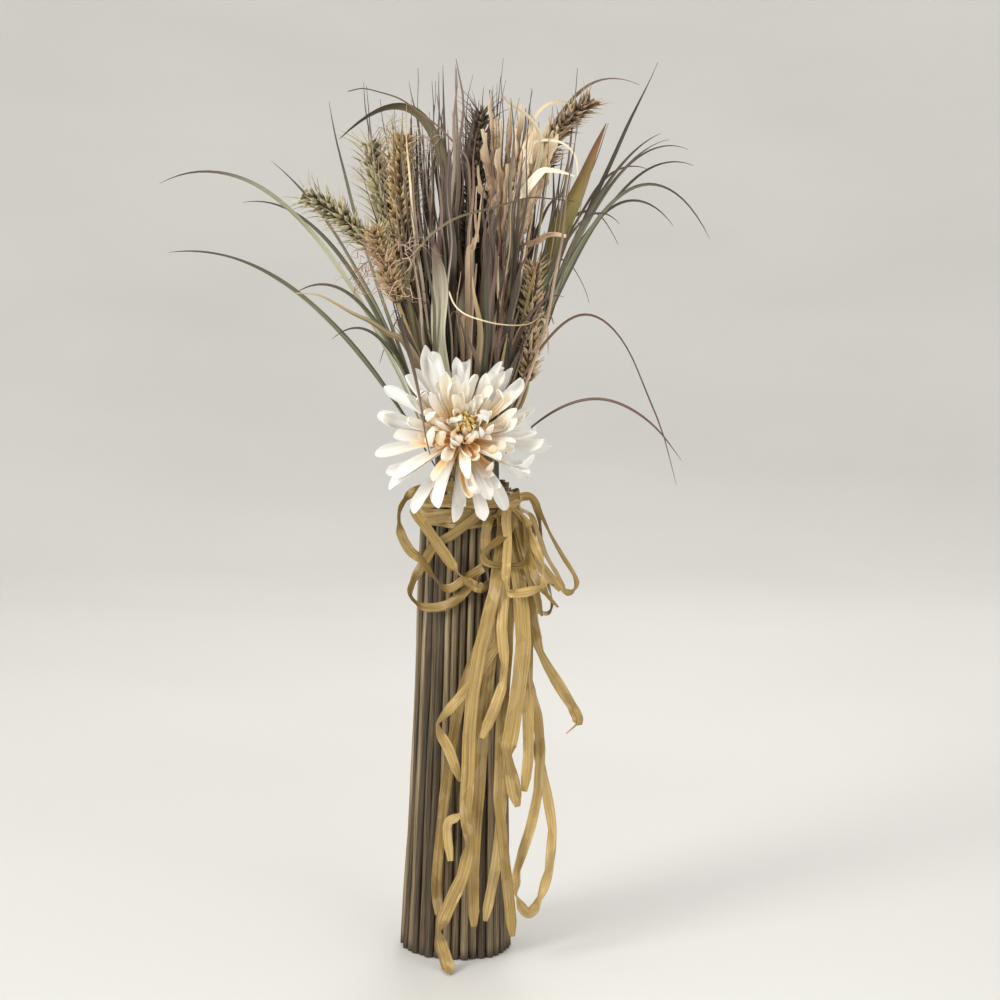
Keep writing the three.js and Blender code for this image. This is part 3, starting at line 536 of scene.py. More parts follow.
# The tie: raffia wound several times round the sheaf, each turn a little askew on the last, and a knot
# of the same strips pulled tight on the right front.
TIE_HEIGHT = 291
TIE_INSIDE = 30.5
TURN_PITCH = 0.42
TURNS = [
    # how far the turn rises and falls, its height, its width
    (0.8, 284.5, 7.5), (1.2, 297.5, 7.5), (2.6, 291, 8), (3.2, 287.5, 7), (3.0, 294.5, 7),
]
UPRIGHT = np.array([0, 0, 1.0])


def turn_of_raffia(skin, seed, radius, rise, low, width):
    angle = np.linspace(0, 2 * math.pi, 97)
    ripple = radius + 0.25 * np.sin(angle * 7 + seed) + 0.12 * np.sin(angle * 17 + seed * 3)
    height = low + rise * np.sin(angle + seed * 2.1) + 0.6 * np.sin(angle * 5 + seed)
    line = np.stack([ripple * np.cos(angle), ripple * np.sin(angle), height], axis=1)
    half = width / 2 * (1 + 0.14 * np.sin(angle * 4 + seed))
    ridges = 0.09 * (1 + 0.5 * np.sin(angle * 9 + seed))[:, None]
    section = strip(half, RAFFIA_THICKNESS, 0.15, ridges, seed)
    skin.sweep(line, UPRIGHT, section, 0.2 + 0.6 * chance(seed + 70))


skin = Skin(raffia)
for i, (rise, low, width) in enumerate(TURNS):
    turn_of_raffia(skin, i + 1, TIE_INSIDE + TURN_PITCH * i, rise, low, width)
skin.piece("raffia_band")

KNOT_AZIMUTH = math.radians(-43)
KNOT_OUT = np.array([math.cos(KNOT_AZIMUTH), math.sin(KNOT_AZIMUTH), 0])
KNOT_ACROSS = np.array([-KNOT_OUT[1], KNOT_OUT[0], 0])
KNOT_STRIPS = [
    # tilt of its plane in degrees, size, how far it lies from the knot's middle
    (-8, 1, -4.6), (12, 1.02, 4.4), (82, 0.86, 0), (0, 1.04, 0), (38, 0.97, 1), (-42, 0.95, -1), (65, 0.8, 1),
]
KNOT_LONG, KNOT_DEEP = 8.4, 5.2
skin = Skin(raffia)
for i, (tilt, size, offset) in enumerate(KNOT_STRIPS):
    angle = np.linspace(0, 2 * math.pi, 49)
    # each strip goes round the knot in a plane that stands square to its own tilt
    wound = KNOT_ACROSS * math.cos(math.radians(tilt)) + UPRIGHT * math.sin(math.radians(tilt))
    sideways = UPRIGHT * math.cos(math.radians(tilt)) - KNOT_ACROSS * math.sin(math.radians(tilt))
    pulled = 1 + 0.05 * np.sin(angle * 3 + i)
    line = (
        KNOT_CENTRE + sideways * offset
        + wound * (np.cos(angle) * KNOT_LONG * size * pulled)[:, None]
        + KNOT_OUT * (np.sin(angle) * KNOT_DEEP * size * pulled)[:, None]
    )
    half = 3.6 * (1 + 0.18 * np.sin(angle * 2 + i))
    skin.sweep(line, sideways, strip(half, 0.6, -0.3, 0.12, i * 1.3), chance(i + 90))
skin.piece("raffia_knot")

# The stalks: sixty brown reeds in a ring, round, finely ribbed and a little crooked, cut off level at the
# foot. They splay slightly at the foot and are drawn in under the tie.
FOOT_RADIUS, TIE_RADIUS = 37, 30
STALK_TOP = 305
CLUMPS, RING_STALKS, INNER_STALKS = 12, 3, 2
HOLE_SHARE = 0.56
SIDEWAYS = np.array([1.0, 0, 0])
reed = fibrous(
    "reed_skin", ["1b1510", "4b3e2a", "7d6c4f", "a99a7b"], fibre=0.5, run=42, root=("3c3129", 0.03), bump=0.8,
    roughness=0.7,
)
cut_end = fibrous("reed_cut_end", ["6e5a41", "a58c66", "c4ac84"], fibre=0.35, run=1, bump=0.3, roughness=0.85)


def sheaf_radius(z):
    drawn_in = np.minimum(z / TIE_HEIGHT, 1)
    return FOOT_RADIUS + (TIE_RADIUS - FOOT_RADIUS) * drawn_in - 1.2 * np.sin(math.pi * drawn_in)


def round_section(radius, corners=14, ribs=0.03, phase=0.0):
    """The section of a round stem at each step, finely ribbed"""
    a = np.arange(corners) / corners * 2 * math.pi
    shape = 1 + ribs * np.cos(a * 5 + phase) + ribs * 0.6 * np.sin(a * 3 + phase * 2)
    circle = np.stack([np.cos(a) * shape, np.sin(a) * shape], axis=1)
    return np.asarray(radius, float)[:, None, None] * circle[None]


def reed_stalk(skin, angle, ring_at, radius_at, top, seed):
    z = np.concatenate([[0.2, 0.22], np.linspace(4, top - 4, 40), [top - 0.02, top]])
    ring = ring_at(z)
    out = ring + 0.5 * wander(z, seed, 240) - 0.3 + spread(seed + 70, 0.8)
    lean = angle + np.radians(0.6) * wander(z, seed + 2, 300)
    line = np.stack([out * np.cos(lean), out * np.sin(lean), z], axis=1)
    radius = radius_at(z) * (1 + 0.035 * wander(z, seed + 4, 60)) * (0.86 + spread(seed, 0.07))
    radius[[0, -1]] *= 0.55
    tone = 0.1 + 0.72 * chance(seed + 600)
    skin.sweep(line, SIDEWAYS, round_section(radius, 16, 0.05, seed), tone)
    skin.finishes[-2:] = [cut_end, cut_end]


for clump in range(CLUMPS):
    skin = Skin(reed)
    half_angle = math.pi / CLUMPS
    middle = clump * 2 * half_angle
    top = STALK_TOP + spread(clump * 31 + 5, 4)
    for k in range(RING_STALKS):
        share = math.sin(half_angle / RING_STALKS)
        inset = chance(clump * 7 + k) * 0.5
        reed_stalk(
            skin, middle + ((2 * k + 1) / RING_STALKS - 1) * half_angle,
            lambda z: sheaf_radius(z) / (1 + share) - inset,
            lambda z: sheaf_radius(z) / (1 + share) * share, top + spread(clump * 9 + k, 1.5), clump * 5 + k,
        )
    for k in range(INNER_STALKS):
        share = math.sin(half_angle / INNER_STALKS)
        reed_stalk(
            skin, middle + ((2 * k + 1) / INNER_STALKS - 1) * half_angle,
            lambda z: sheaf_radius(z) * HOLE_SHARE / (1 - share) + 0.3,
            lambda z: sheaf_radius(z) * HOLE_SHARE / (1 - share) * share, top - 1, clump * 5 + k + 3,
        )
    skin.piece(f"stalk_clump_{clump + 1:02d}")

# The wheat ears: each on a hollow straw that runs down inside the ring of reeds. An ear is a zigzag spine
# with a spikelet at each turn, and a spikelet is a fan of husks that end in bristly awns.
CELL = 6.5
FAN_HEIGHT, ROOT_DEPTH = 312, 7
LOWEST_FOOT = 0.1
SPIKELET_PITCH, HUSKS_IN_FAN = 2.3, 5
AWN_RADIUS = 0.36
straw_stem = fibrous(
    "straw_stem", ["493c2a", "776443", "9c8659", "bda87a"], fibre=0.5, run=50, root=("5c4c38", 0.3),
    roughness=0.6,
)


def cell_centre(ring, degrees):
    """Where a stem stands in the honeycomb inside the ring of reeds"""
    corner = degrees % 60 == 0
    r = CELL * ring * (1 if corner else math.cos(math.radians(30)))
    return np.array([r * math.cos(math.radians(degrees)), r * math.sin(math.radians(degrees)), 0])


def stem_foot(n):
    return 30 + chance(n) * 90


def packed_stem(skin, centre, low, seed, finish=None):
    """The length of a stem that is packed inside the sheaf"""
    z = np.linspace(low, FAN_HEIGHT, 24)
    line = centre + np.stack([0.25 * wander(z, seed, 90), 0.25 * wander(z, seed + 1, 120), z], axis=1)
    radius = 2.9 * (1 - 0.55 * np.clip((z - 300) / 12, 0, 1) ** 2)
    skin.sweep(line, SIDEWAYS, round_section(radius, 12, 0.04, seed), chance(seed), finish)


def bezier(a, b, c, d, steps, crowd=1.0):
    """A curve through a and d, with its steps crowded towards its end where crowd is over 1"""
    t = 1 - (1 - np.linspace(0, 1, steps + 1)[:, None]) ** crowd
    return a * (1 - t) ** 3 + 3 * b * t * (1 - t) ** 2 + 3 * c * t**2 * (1 - t) + d * t**3


def ear_stalk(skin, centre, foot, axis, radius, seed):
    rise = foot[2] - FAN_HEIGHT
    root = centre + [0, 0, FAN_HEIGHT - ROOT_DEPTH]
    first = centre + [0, 0, FAN_HEIGHT + rise * 0.35]
    line = bezier(root, first, foot - axis * rise * 0.4, foot + axis * 2, 24)
    section = round_section([radius] * 25, 8, 0.05, seed)
    skin.sweep(line, np.array([1.0, 0.2, 0]), section, chance(seed), straw_stem)


def husk_scale(skin, root, lean, face, length, width, tone):
    """One husk of a spikelet: a keeled boat that narrows to a point"""
    t = np.linspace(0, 1, 7)
    line = root + lean * (t * length)[:, None] + face * (0.16 * length * t**2)[:, None]
    half = width / 2 * np.sin(math.pi * (0.1 + 0.88 * t) ** 0.8) ** 0.75 + 0.08
    a = np.arange(6) / 6 * 2 * math.pi
    keel = np.stack([np.cos(a), 0.62 * np.sin(a) + 0.25 * (np.sin(a) > 0.8)], axis=1)
    skin.sweep(line, np.cross(face, lean), half[:, None, None] * keel[None], tone)


def awn(skin, root, lean, curl, length, tone, finish):
    """The bristle at the end of a husk"""
    t = np.linspace(0, 1, 6)
    line = root + lean * (t * length)[:, None] + curl * (length * 0.22 * t**2)[:, None]
    section = round_section(AWN_RADIUS * (1 - 0.85 * t), 4, 0)
    skin.sweep(line, np.cross(curl, lean) + 1e-3, section, tone, finish)


def wheat_ear(skin, foot, head, radius, bristle, thorn, seed, bend):
    """The ear itself, from its foot to its head, with two rows of spikelets that each spread in a fan"""
    bend = np.array(bend, float)
    axis = unit(head - foot)
    length = np.linalg.norm(head - foot)
    out = unit(np.cross([axis[2], 0.2, -axis[0]], axis))
    flat = np.cross(axis, out)
    spine = [foot + axis * length * t + bend * math.sin(math.pi * t) for t in np.linspace(0, 0.97, 8)]
    skin.sweep(spine, out, round_section(np.linspace(2.4, 1.0, 8), 6, 0), chance(seed), straw_stem)
    count = round(length / SPIKELET_PITCH)
    for i in range(count):
        t = (i + 0.15) / count
        row = -1 if i % 2 else 1
        full = math.sin(math.pi * (0.2 + 0.64 * t)) ** 0.6
        for k in range(HUSKS_IN_FAN):
            n = seed + i * 11 + k * 3
            around = math.radians((k / (HUSKS_IN_FAN - 1) - 0.5) * 165 + spread(n, 14))
            radial = out * row * math.cos(around) + flat * math.sin(around)
            along_it = axis + bend * math.pi / length * math.cos(math.pi * t)
            lean = unit(along_it + radial * (0.72 + spread(n + 1, 0.3)) + flat * spread(n + 7, 0.18))
            root = foot + axis * (t * length * 0.93 + spread(n + 4, 0.8)) + radial * radius * 0.34 * full
            root = root + bend * math.sin(math.pi * t * 0.93)
            size = (7.2 + spread(n + 2, 1.5)) * (0.7 + 0.35 * full)
            tone = chance(n + 5)
            face = unit(radial - lean * radial.dot(lean))
            husk_scale(skin, root, lean, face, size, radius * 0.31 * (0.75 + 0.3 * full), tone)
            reach = bristle * (0.4 + 0.9 * chance(n + 8)) * (0.75 + 0.4 * t)
            way = unit(lean + radial * (0.12 + spread(n + 9, 0.3)) + axis * 0.25)
            awn(skin, root + lean * size * 0.84 + face * 0.13 * size, way, face, reach, tone, thorn)


def fuzz(skin, middle, reach, count, seed):
    """Loose curly fibres that cling round an ear"""
    for i in range(count):
        n = seed + i * 5
        start = middle + np.array([spread(n, reach), spread(n + 1, reach * 0.5), spread(n + 2, reach)])
        way = unit(np.array([spread(n + 3, 1), spread(n + 4, 0.6), spread(n + 5, 0.8)]))
        aside = unit(np.cross(way, [0.3, 1, 0.2]))
        t = np.linspace(0, 1, 18)
        size = reach * (0.6 + chance(n + 6))
        curl = np.stack([np.sin(t * 7 + n) * size * 0.16, np.cos(t * 6 + n) * size * 0.16], axis=1)
        line = start + way * (t * size)[:, None] + aside * curl[:, :1] + np.cross(way, aside) * curl[:, 1:]
        section = round_section(0.26 * (1.1 - t), 4, 0)
        skin.sweep(line, np.array([0.2, 0.9, 0.4]), section, chance(n), pink_fibre)


def wheat_husk(name, shades, root, tip):
    """Husks carry painted shade at their roots, where they overlap, and are bleached at their points"""
    return fibrous(
        name, shades, fibre=0.45, run=4, root=(root, 0.4), tip=(tip, 0.45), bump=0.4, roughness=0.75
    )


# the third colour of each is painted shade at the husks' roots, and the fourth is their bleached points
green_husk = wheat_husk("green_wheat_husk", ["3a3624", "756e51", "a69d79", "dad1ad"], "3a3524", "d3c9a6")
golden_husk = wheat_husk("golden_wheat_husk", ["36280f", "7a6035", "aa8a55", "dcc592"], "32240f", "d8c18f")
pink_husk = wheat_husk("pink_wheat_husk", ["45341f", "8a7044", "b49a68", "dcc99c"], "3d2d1b", "d6c08e")
dark_husk = wheat_husk("dark_wheat_husk", ["1c1512", "3a2f2a", "5b4c44", "8f7d6e"], "1d1613", "7d6a5a")
brown_husk = wheat_husk("brown_wheat_husk", ["2e221a", "594334", "816550", "b59c7f"], "2a1f19", "a98f72")
rust_husk = wheat_husk("rust_wheat_husk", ["5a482e", "a68a64", "d0b58e", "eddcc0"], "523f2a", "dcc49f")


def hair(name, shades, roughness):
    return fibrous(name, shades, fibre=0.4, run=9, bump=0, roughness=roughness)


pale_awn = hair("awn_bristle", ["6a5d40", "a89b74", "dbd1ae"], 0.6)
dark_awn = hair("dark_awn_bristle", ["2a221c", "4d4136", "7d6c58"], 0.6)
pink_fibre = hair("pink_fibre", ["8d6a58", "b3907c", "cfb3a0"], 0.7)

# Some ears carry fine blades of grass on their own stems
GRASS_THICKNESS = 0.5


def arch(centre, row, aside=0.0, steps=36):
    """The line of a blade, from its azimuth, the reach and height of its tip, and the height that it
    arches towards"""
    azimuth, reach, height, peak, *rest = row
    far = rest[0] if rest else 0.6
    away = np.array([math.cos(math.radians(azimuth)), math.sin(math.radians(azimuth)), 0])
    square = np.array([-away[1], away[0], 0])
    root = centre + [0, 0, FAN_HEIGHT - ROOT_DEPTH] + square * aside
    tip = away * reach + [0, 0, height]
    outward = (tip - root) * [1, 1, 0]
    first = root + outward * far * 0.42
    first[2] = root[2] + (peak - root[2]) * 0.5
    second = root + outward * far
    second[2] = peak
    return bezier(root, first, second, tip, steps), square


def grass_blade(
    skin, centre, row, width, seed, aside=0.0, finish=None, root=0.5, widest=0.4, tip=0.05, turned=None
):
    """A long narrow blade, folded along its midrib, that wavers a little towards its tip. It turns about
    its own length, so that it shows some of its face from every side."""
    line, square = arch(centre, row, aside)
    length = along(line)
    t = length / length[-1]
    line = line + square * (4.2 * wander(length, seed, 140) * t**1.4)[:, None]
    opening = root + (1 - root) * (t / widest)
    closing = 1 - (1 - tip) * (np.maximum(t - widest, 0) / (1 - widest)) ** 2.8
    half = width / 2 * np.where(t < widest, opening, closing)
    if turned is None:
        turned = 62 * abs(math.cos(math.radians(row[0]))) * (1 if chance(seed + 5) < 0.5 else -1)
    twist = np.radians(turned * np.minimum(t * 3, 1) + 26 * wander(length, seed + 3, 170) * t)
    ahead = unit(np.gradient(line, axis=0))
    side = square * np.cos(twist)[:, None] + np.cross(ahead, square) * np.sin(twist)[:, None]
    section = strip(half, GRASS_THICKNESS * (1 - 0.5 * t), half * 0.3, 0.05, seed, 7)
    skin.sweep(line, side, section, 1.3 * chance(seed + 31) - 0.15, finish)


def tuft(skin, centre, azimuth, count, seed, finishes, width, fan=62, reach=(10, 56), height=(390, 555)):
    """The many thin blades at the foot of a spray, which stand close and hide its stems"""
    for k in range(count):
        n = seed + k * 13
        high = height[0] + (height[1] - height[0]) * chance(n + 2) ** 1.2
        row = [
            azimuth + spread(n, fan), reach[0] + (reach[1] - reach[0]) * chance(n + 1), high,
            400 + 60 * chance(n + 3), 0.72 + 0.25 * chance(n + 4),
        ]
        finish = finishes[int(chance(n + 6) * len(finishes))]
        broad = width * (0.45 + 1.3 * chance(n + 7) ** 2.5)
        aside = spread(n + 8, 9)
        grass_blade(skin, centre, row, broad, n + 9, aside, finish, 0.7, 0.45, 0.12, spread(n + 10, 45))


green_grass = fibrous(
    "green_grass", ["2b2a1e", "56563f", "7e7e63", "adad92"], fibre=0.4, run=70, root=("5f5c44", 0.3),
    tip=("4a3c34", 0.5), bump=0.4, roughness=0.55,
)
red_grass = fibrous(
    "red_grass", ["30221b", "664c3d", "957864", "c7ae96"], fibre=0.4, run=70, root=("66583f", 0.3),
    tip=("5a3f38", 0.5), bump=0.4, roughness=0.55,
)
mauve_grass = fibrous(
    "mauve_grass", ["1c1511", "44382e", "7a6a5b", "b7a996"], fibre=0.35, run=60, root=("4a3c30", 0.3),
    tip=("6f5b51", 0.4), bump=0.4, roughness=0.55,
)
bleached_grass = fibrous(
    "bleached_grass", ["6d5c41", "9d8a66", "c4b491", "e2d7bb"], fibre=0.4, run=60, root=("84724f", 0.4),
    tip=("b49c78", 0.3), bump=0.4, roughness=0.6,
)

EARS = [
    # name, ring and azimuth of its stem, foot and head of the ear, radius, awn length, slot, finish
    ("wheat_ear_left", 2, 210, [-66, -21, 460], [-110, -31, 491], 8.5, 11, "green_straw", green_husk),
    ("wheat_ear_bristly", 1, 120, [-53, 13, 458], [-70, 16, 534], 9, 14, "green_straw", green_husk),
    ("wheat_ear_golden", 1, 180, [-41, -3, 426], [-47, -5, 538], 10.5, 12, "straw", golden_husk),
    ("wheat_ear_pink", 2, 240, [-46, -31, 424], [-63, -38, 473], 8, 7, "straw", pink_husk),
    ("wheat_ear_dark", 0, 0, [-2, 0, 458], [4, 0, 556], 6.5, 13, "dark_straw", dark_husk),
    ("wheat_ear_right", 1, 0, [45, 1, 514], [78, 0, 560], 7, 7, "dark_straw", brown_husk),
    ("wheat_ear_low", 2, 330, [38, -13, 376], [40, -16, 456], 7.5, 7, "dark_straw", rust_husk),
    ("wheat_ear_back", 2, 60, [22, 40, 450], [30, 58, 530], 7.5, 10, "dark_straw", brown_husk),
]
EAR_BLADES = {
    "wheat_ear_dark": [
        [182, 22, 578, 470, 0.8], [176, 14, 579, 480, 0.6], [12, 15, 572, 470, 0.7], [100, 16, 560, 470, 0.8],
        [250, 10, 552, 460, 0.7], [300, 14, 520, 440, 0.7], [215, 15, 500, 430, 0.7], [60, 12, 540, 450, 0.7],
    ],
    "wheat_ear_back": [[68, 62, 560, 470, 0.6], [58, 50, 520, 450, 0.6], [80, 46, 500, 440, 0.6]],
}
EAR_BENDS = {"wheat_ear_right": (-5, 0, 4), "wheat_ear_left": (4, 0, 3), "wheat_ear_golden": (-2, 0, 0)}
EAR_TUFTS = {
    # azimuth, count, seed, finishes, width, half angle, reach and height
    "wheat_ear_dark": (
        110, 30, 12000, [mauve_grass, mauve_grass, green_grass, mauve_grass, green_grass], 3.4, 110, (4, 50),
        (400, 560),
    ),
    "wheat_ear_golden": (
        215, 22, 13000, [mauve_grass, green_grass, mauve_grass], 2.6, 60, (24, 62), (400, 560),
    ),
    "wheat_ear_right": (
        20, 16, 14000, [mauve_grass, green_grass, mauve_grass, green_grass], 3.2, 60, (22, 66), (400, 540),
    ),
    "wheat_ear_low": (
        330, 16, 15000, [straw_stem, bleached_grass, green_grass, straw_stem], 3, 40, (34, 58), (385, 500),
    ),
}
EAR_FUZZ = {
    # share of the way up the ear, how far off its middle lies, reach, count, seed
    "wheat_ear_pink": (0.45, [-2, -4, 0], 17, 90, 900),
    "wheat_ear_bristly": (0.85, [22, -12, -4], 17, 80, 950),
}
for n, (name, ring, azimuth, foot, head, radius, bristle, slot, husk) in enumerate(EARS):
    skin = Skin(husk)
    centre = cell_centre(ring, azimuth)
    foot, head = np.array(foot, float), np.array(head, float)
    packed_stem(skin, centre, LOWEST_FOOT if ring == 0 else stem_foot(n + 3), n + 200, straw_stem)
    ear_stalk(skin, centre, foot, unit(head - foot), 1.3, n)
    thorn = dark_awn if husk is dark_husk else pale_awn
    wheat_ear(skin, foot, head, radius, bristle, thorn, n * 90, EAR_BENDS.get(name, (0, 0, 0)))
    for i, row in enumerate(EAR_BLADES.get(name, [])):
        finish = mauve_grass if i % 2 else green_grass
        grass_blade(skin, centre, row, 3.2, n * 50 + i, (i - 1.5) * 0.6, finish)
    if name in EAR_TUFTS:
        tuft(skin, centre, *EAR_TUFTS[name])
    if name in EAR_FUZZ:
        share, off, *fibres = EAR_FUZZ[name]
        fuzz(skin, foot + (head - foot) * share + off, *fibres)
    skin.piece(name)

# The grasses: seven sprays of long dry blades, olive to purple-brown, that stand in the sheaf by one stem
# each and arch out over it on all sides.
GRASSES = [
    # name, ring and azimuth of its stem, slot, blades
    ("grass_left", 2, 180, "grass", [
        [174, 97, 555, 470, 0.8], [177, 133, 515, 480], [179, 150, 487, 500], [180, 204, 498, 540],
        [183, 196, 453, 467], [185, 90, 400, 430], [186, 114, 429, 458],
    ]),
    ("grass_left_upright", 2, 150, "grass", [
        [128, 40, 560, 470], [138, 58, 573, 470, 0.7], [144, 50, 581, 480, 0.6], [150, 70, 530, 470, 0.9],
        [153, 72, 560, 475, 0.8], [156, 79, 568, 490, 0.95], [159, 82, 571, 480, 0.75],
    ]),
    ("grass_back_left", 2, 120, "red_grass", [
        [118, 82, 535, 500, 0.8], [125, 105, 480, 520], [130, 100, 385, 470], [135, 120, 440, 500],
        [142, 112, 520, 500], [147, 105, 470, 480],
    ]),
    ("grass_back", 2, 90, "grass", [
        [75, 85, 430, 520], [82, 60, 545, 500, 0.7], [90, 80, 500, 540], [98, 50, 560, 480, 0.6],
        [105, 78, 455, 500], [110, 86, 400, 480],
    ]),
    ("grass_right_back", 2, 30, "red_grass", [
        [25, 130, 520, 540], [28, 100, 550, 500, 0.8], [32, 115, 470, 540], [38, 85, 558, 480, 0.8],
        [40, 105, 430, 510], [48, 100, 500, 520],
    ]),
    ("grass_right", 2, 0, "grass", [
        [-3, 95, 479, 513], [-2, 120, 538, 520], [-1, 154, 471, 570], [1, 126, 535, 525],
        [3, 139, 529, 550], [7, 132, 480, 540], [11, 147, 521, 540],
    ]),
    ("grass_front", 2, 300, "red_grass", [
        [-66, 38, 470, 440], [-50, 42, 500, 450], [-33, 48, 466, 440], [-29, 66, 430, 440],
        [-24, 144, 314, 500], [-24.5, 149, 329, 402],
    ]),
]

FANS = {
    "grass": [
        green_grass, green_grass, mauve_grass, red_grass, mauve_grass, green_grass, red_grass, mauve_grass,
    ],
    "red_grass": [
        red_grass, mauve_grass, mauve_grass, red_grass, green_grass, red_grass, mauve_grass, bleached_grass,
    ],
}
DROOPING = 140  # a blade of the front spray that reaches farther than this is a thin thread
for n, (name, ring, azimuth, slot, rows) in enumerate(GRASSES):
    own, other = (green_grass, red_grass) if slot == "grass" else (red_grass, green_grass)
    skin = Skin(own)
    centre = cell_centre(ring, azimuth)
    packed_stem(skin, centre, stem_foot(n + 20), n + 240)
    front = name == "grass_front"
    for i, row in enumerate(rows):
        seed = n * 40 + 7 + i
        width = 3.2 * (0.85 + 0.3 * chance(seed)) * (0.6 if front and row[1] > DROOPING else 1)
        grass_blade(skin, centre, row, width, seed, (i - (len(rows) - 1) / 2) * 0.6)
    tuft(skin, centre, azimuth, 24, n * 700 + 3000, FANS[slot], 3.8, height=(390, 470 if front else 555))
    if not front:
        high_blades = [mauve_grass, mauve_grass, own, other]
        tuft(skin, centre, azimuth, 20, n * 700 + 3500, high_blades, 3.3, 85, (22, 76), (480, 582))
    skin.piece(name)

# The wide leaves: striped straps of a reed's leaf. The left bunch has a long strap arched over to the left,
# a pale flat one that stands behind the bloom and curled thin ones, and the right one is green turning
# rust.
olive_leaf = fibrous(
    "olive_leaf", ["2f2819", "54492f", "6f6440", "958a60"], fibre=0.6, run=120, root=("5a4a33", 0.3),
    tip=("4c4233", 0.45), roughness=0.5,
)
pale_leaf = fibrous(
    "pale_striped_leaf", ["3d382b", "86806a", "b7b299", "dad5bf"], fibre=1.0, run=160, root=("7d7a60", 0.3),
    tip=("5f4638", 0.35), roughness=0.5,
)
rust_leaf = fibrous(
    "rust_leaf", ["3b3f1d", "646c36", "85874a", "ac9a5c"], fibre=0.6, run=120, root=("5f6a40", 0.6),
    tip=("8f5f38", 0.3), roughness=0.5,
)


def strap(skin, centre, row, width, seed, root, finish, turned):
    grass_blade(skin, centre, row, width, seed, 0, finish, root, 0.55, 0.03, turned)


def loose_curl(skin, points, widths, face, seed, finish):
    """A thin strip that hangs loose along given points"""
    line = through(points, 8)
    share = along(line) / along(line)[-1]
    half = np.interp(share, np.linspace(0, 1, len(widths)), widths) / 2
    ahead = unit(np.gradient(line, axis=0))
    side = unit(np.cross(ahead, face))
    skin.sweep(line, side, strip(half, 0.35, half * 0.3, 0.1, seed, 7), chance(seed), finish)


left_cell = cell_centre(1, 240)
skin = Skin(olive_leaf)
packed_stem(skin, left_cell, stem_foot(41), 261)
strap(skin, left_cell, [186, 88, 528, 610, 0.06], 7.5, 61, 0.4, None, 55)
strap(skin, left_cell, [238, 42, 468, 400, 0.97], 13, 62, 0.7, pale_leaf, 0)
strap(skin, left_cell, [206, 46, 436, 410, 0.9], 6, 63, 0.6, None, 30)
strap(skin, left_cell, [262, 26, 452, 420, 0.8], 6, 64, 0.6, pale_leaf, 20)
strap(skin, left_cell, [200, 44, 470, 420, 0.9], 5, 68, 0.6, None, 40)
left_blades = [olive_leaf, olive_leaf, mauve_grass, mauve_grass, bleached_grass]
tuft(skin, left_cell, 200, 22, 9000, left_blades, 3.2, 45)
LEFT_CURLS = [
    # points from the stem to the tip, widths along them, facing, finish
    # a tendril that sweeps over to the right
    ([
        (-3, -6, 305), (-18, -13, 345), (-33, -22, 395), (-40, -29, 432), (-37, -34, 450), (-30, -38, 462),
        (-20, -40, 471), (-8, -41, 478), (12, -41, 484), (35, -40, 491), (49, -38, 491), (64, -36, 490),
    ], [2, 2.6, 2.4, 1.8, 0.8], (0, -0.8, 0.6), olive_leaf),
    # a pale thread that droops before the sheaf
    ([
        (-3, -6, 305), (-5, -8, 350), (-9, -12, 395), (-13, -24, 425), (-14, -36, 432), (-11, -40, 425),
        (-7, -42, 420), (0, -45, 416), (15, -47, 412), (29, -46, 411), (39, -42, 413), (47, -36, 420),
    ], [0.5, 0.5, 1, 1.1, 0.9, 0.6], (0, -1, 0.2), bleached_grass),
    # a thin cream one, curled to the left
    ([
        (-3, -6, 305), (-12, -14, 335), (-26, -26, 370), (-41, -34, 398), (-52, -36, 404), (-63, -38, 411),
        (-74, -40, 416), (-85, -40, 422), (-96, -40, 427), (-110, -40, 428),
    ], [2, 3, 6, 8.5, 7, 4.6, 3, 1.8, 0.8], (0.3, -0.8, 0.5), bleached_grass),
    # a dark one that bends forward over the left of the bloom
    ([
        (-3, -6, 305), (-16, -12, 345), (-34, -26, 392), (-43, -45, 414), (-40, -60, 403), (-35, -78, 390),
        (-30, -92, 373), (-27, -97, 360), (-24, -98, 343), (-21, -98, 331),
    ], [2, 3, 5, 5.5, 4, 2.8, 1.8, 0.8], (-0.6, -0.7, 0.4), mauve_grass),
    # a reddish one, arched over to the left behind the ears
    ([
        (-3, -6, 305), (-2, -7, 380), (-1, -9, 450), (-2, -20, 490), (-4, -28, 514), (-12, -32, 524),
        (-22, -34, 534), (-35, -36, 543), (-47, -36, 551), (-60, -36, 555), (-71, -36, 557), (-80, -36, 555),
    ], [2, 2.4, 2.4, 2.2, 2, 1.6, 1.2, 0.6], (0.4, -0.8, 0.4), red_grass),
]
for seed, (points, widths, face, finish) in enumerate(LEFT_CURLS, 314):
    loose_curl(skin, points, widths, face, seed, finish)
skin.piece("leaf_left")

right_cell = cell_centre(1, 60)
skin = Skin(rust_leaf)
packed_stem(skin, right_cell, stem_foot(42), 262)
strap(skin, right_cell, [11, 87, 546, 470], 13, 65, 0.35, None, 50)
grass_blade(skin, right_cell, [9, 119, 586, 480], 4, 66, -0.3, green_grass)
grass_blade(skin, right_cell, [7, 107, 571, 600, 0.36], 4, 67, 0.3, mauve_grass)
tuft(skin, right_cell, 20, 30, 9600, [rust_leaf, green_grass, mauve_grass, mauve_grass], 3, 80)
skin.piece("leaf_right")

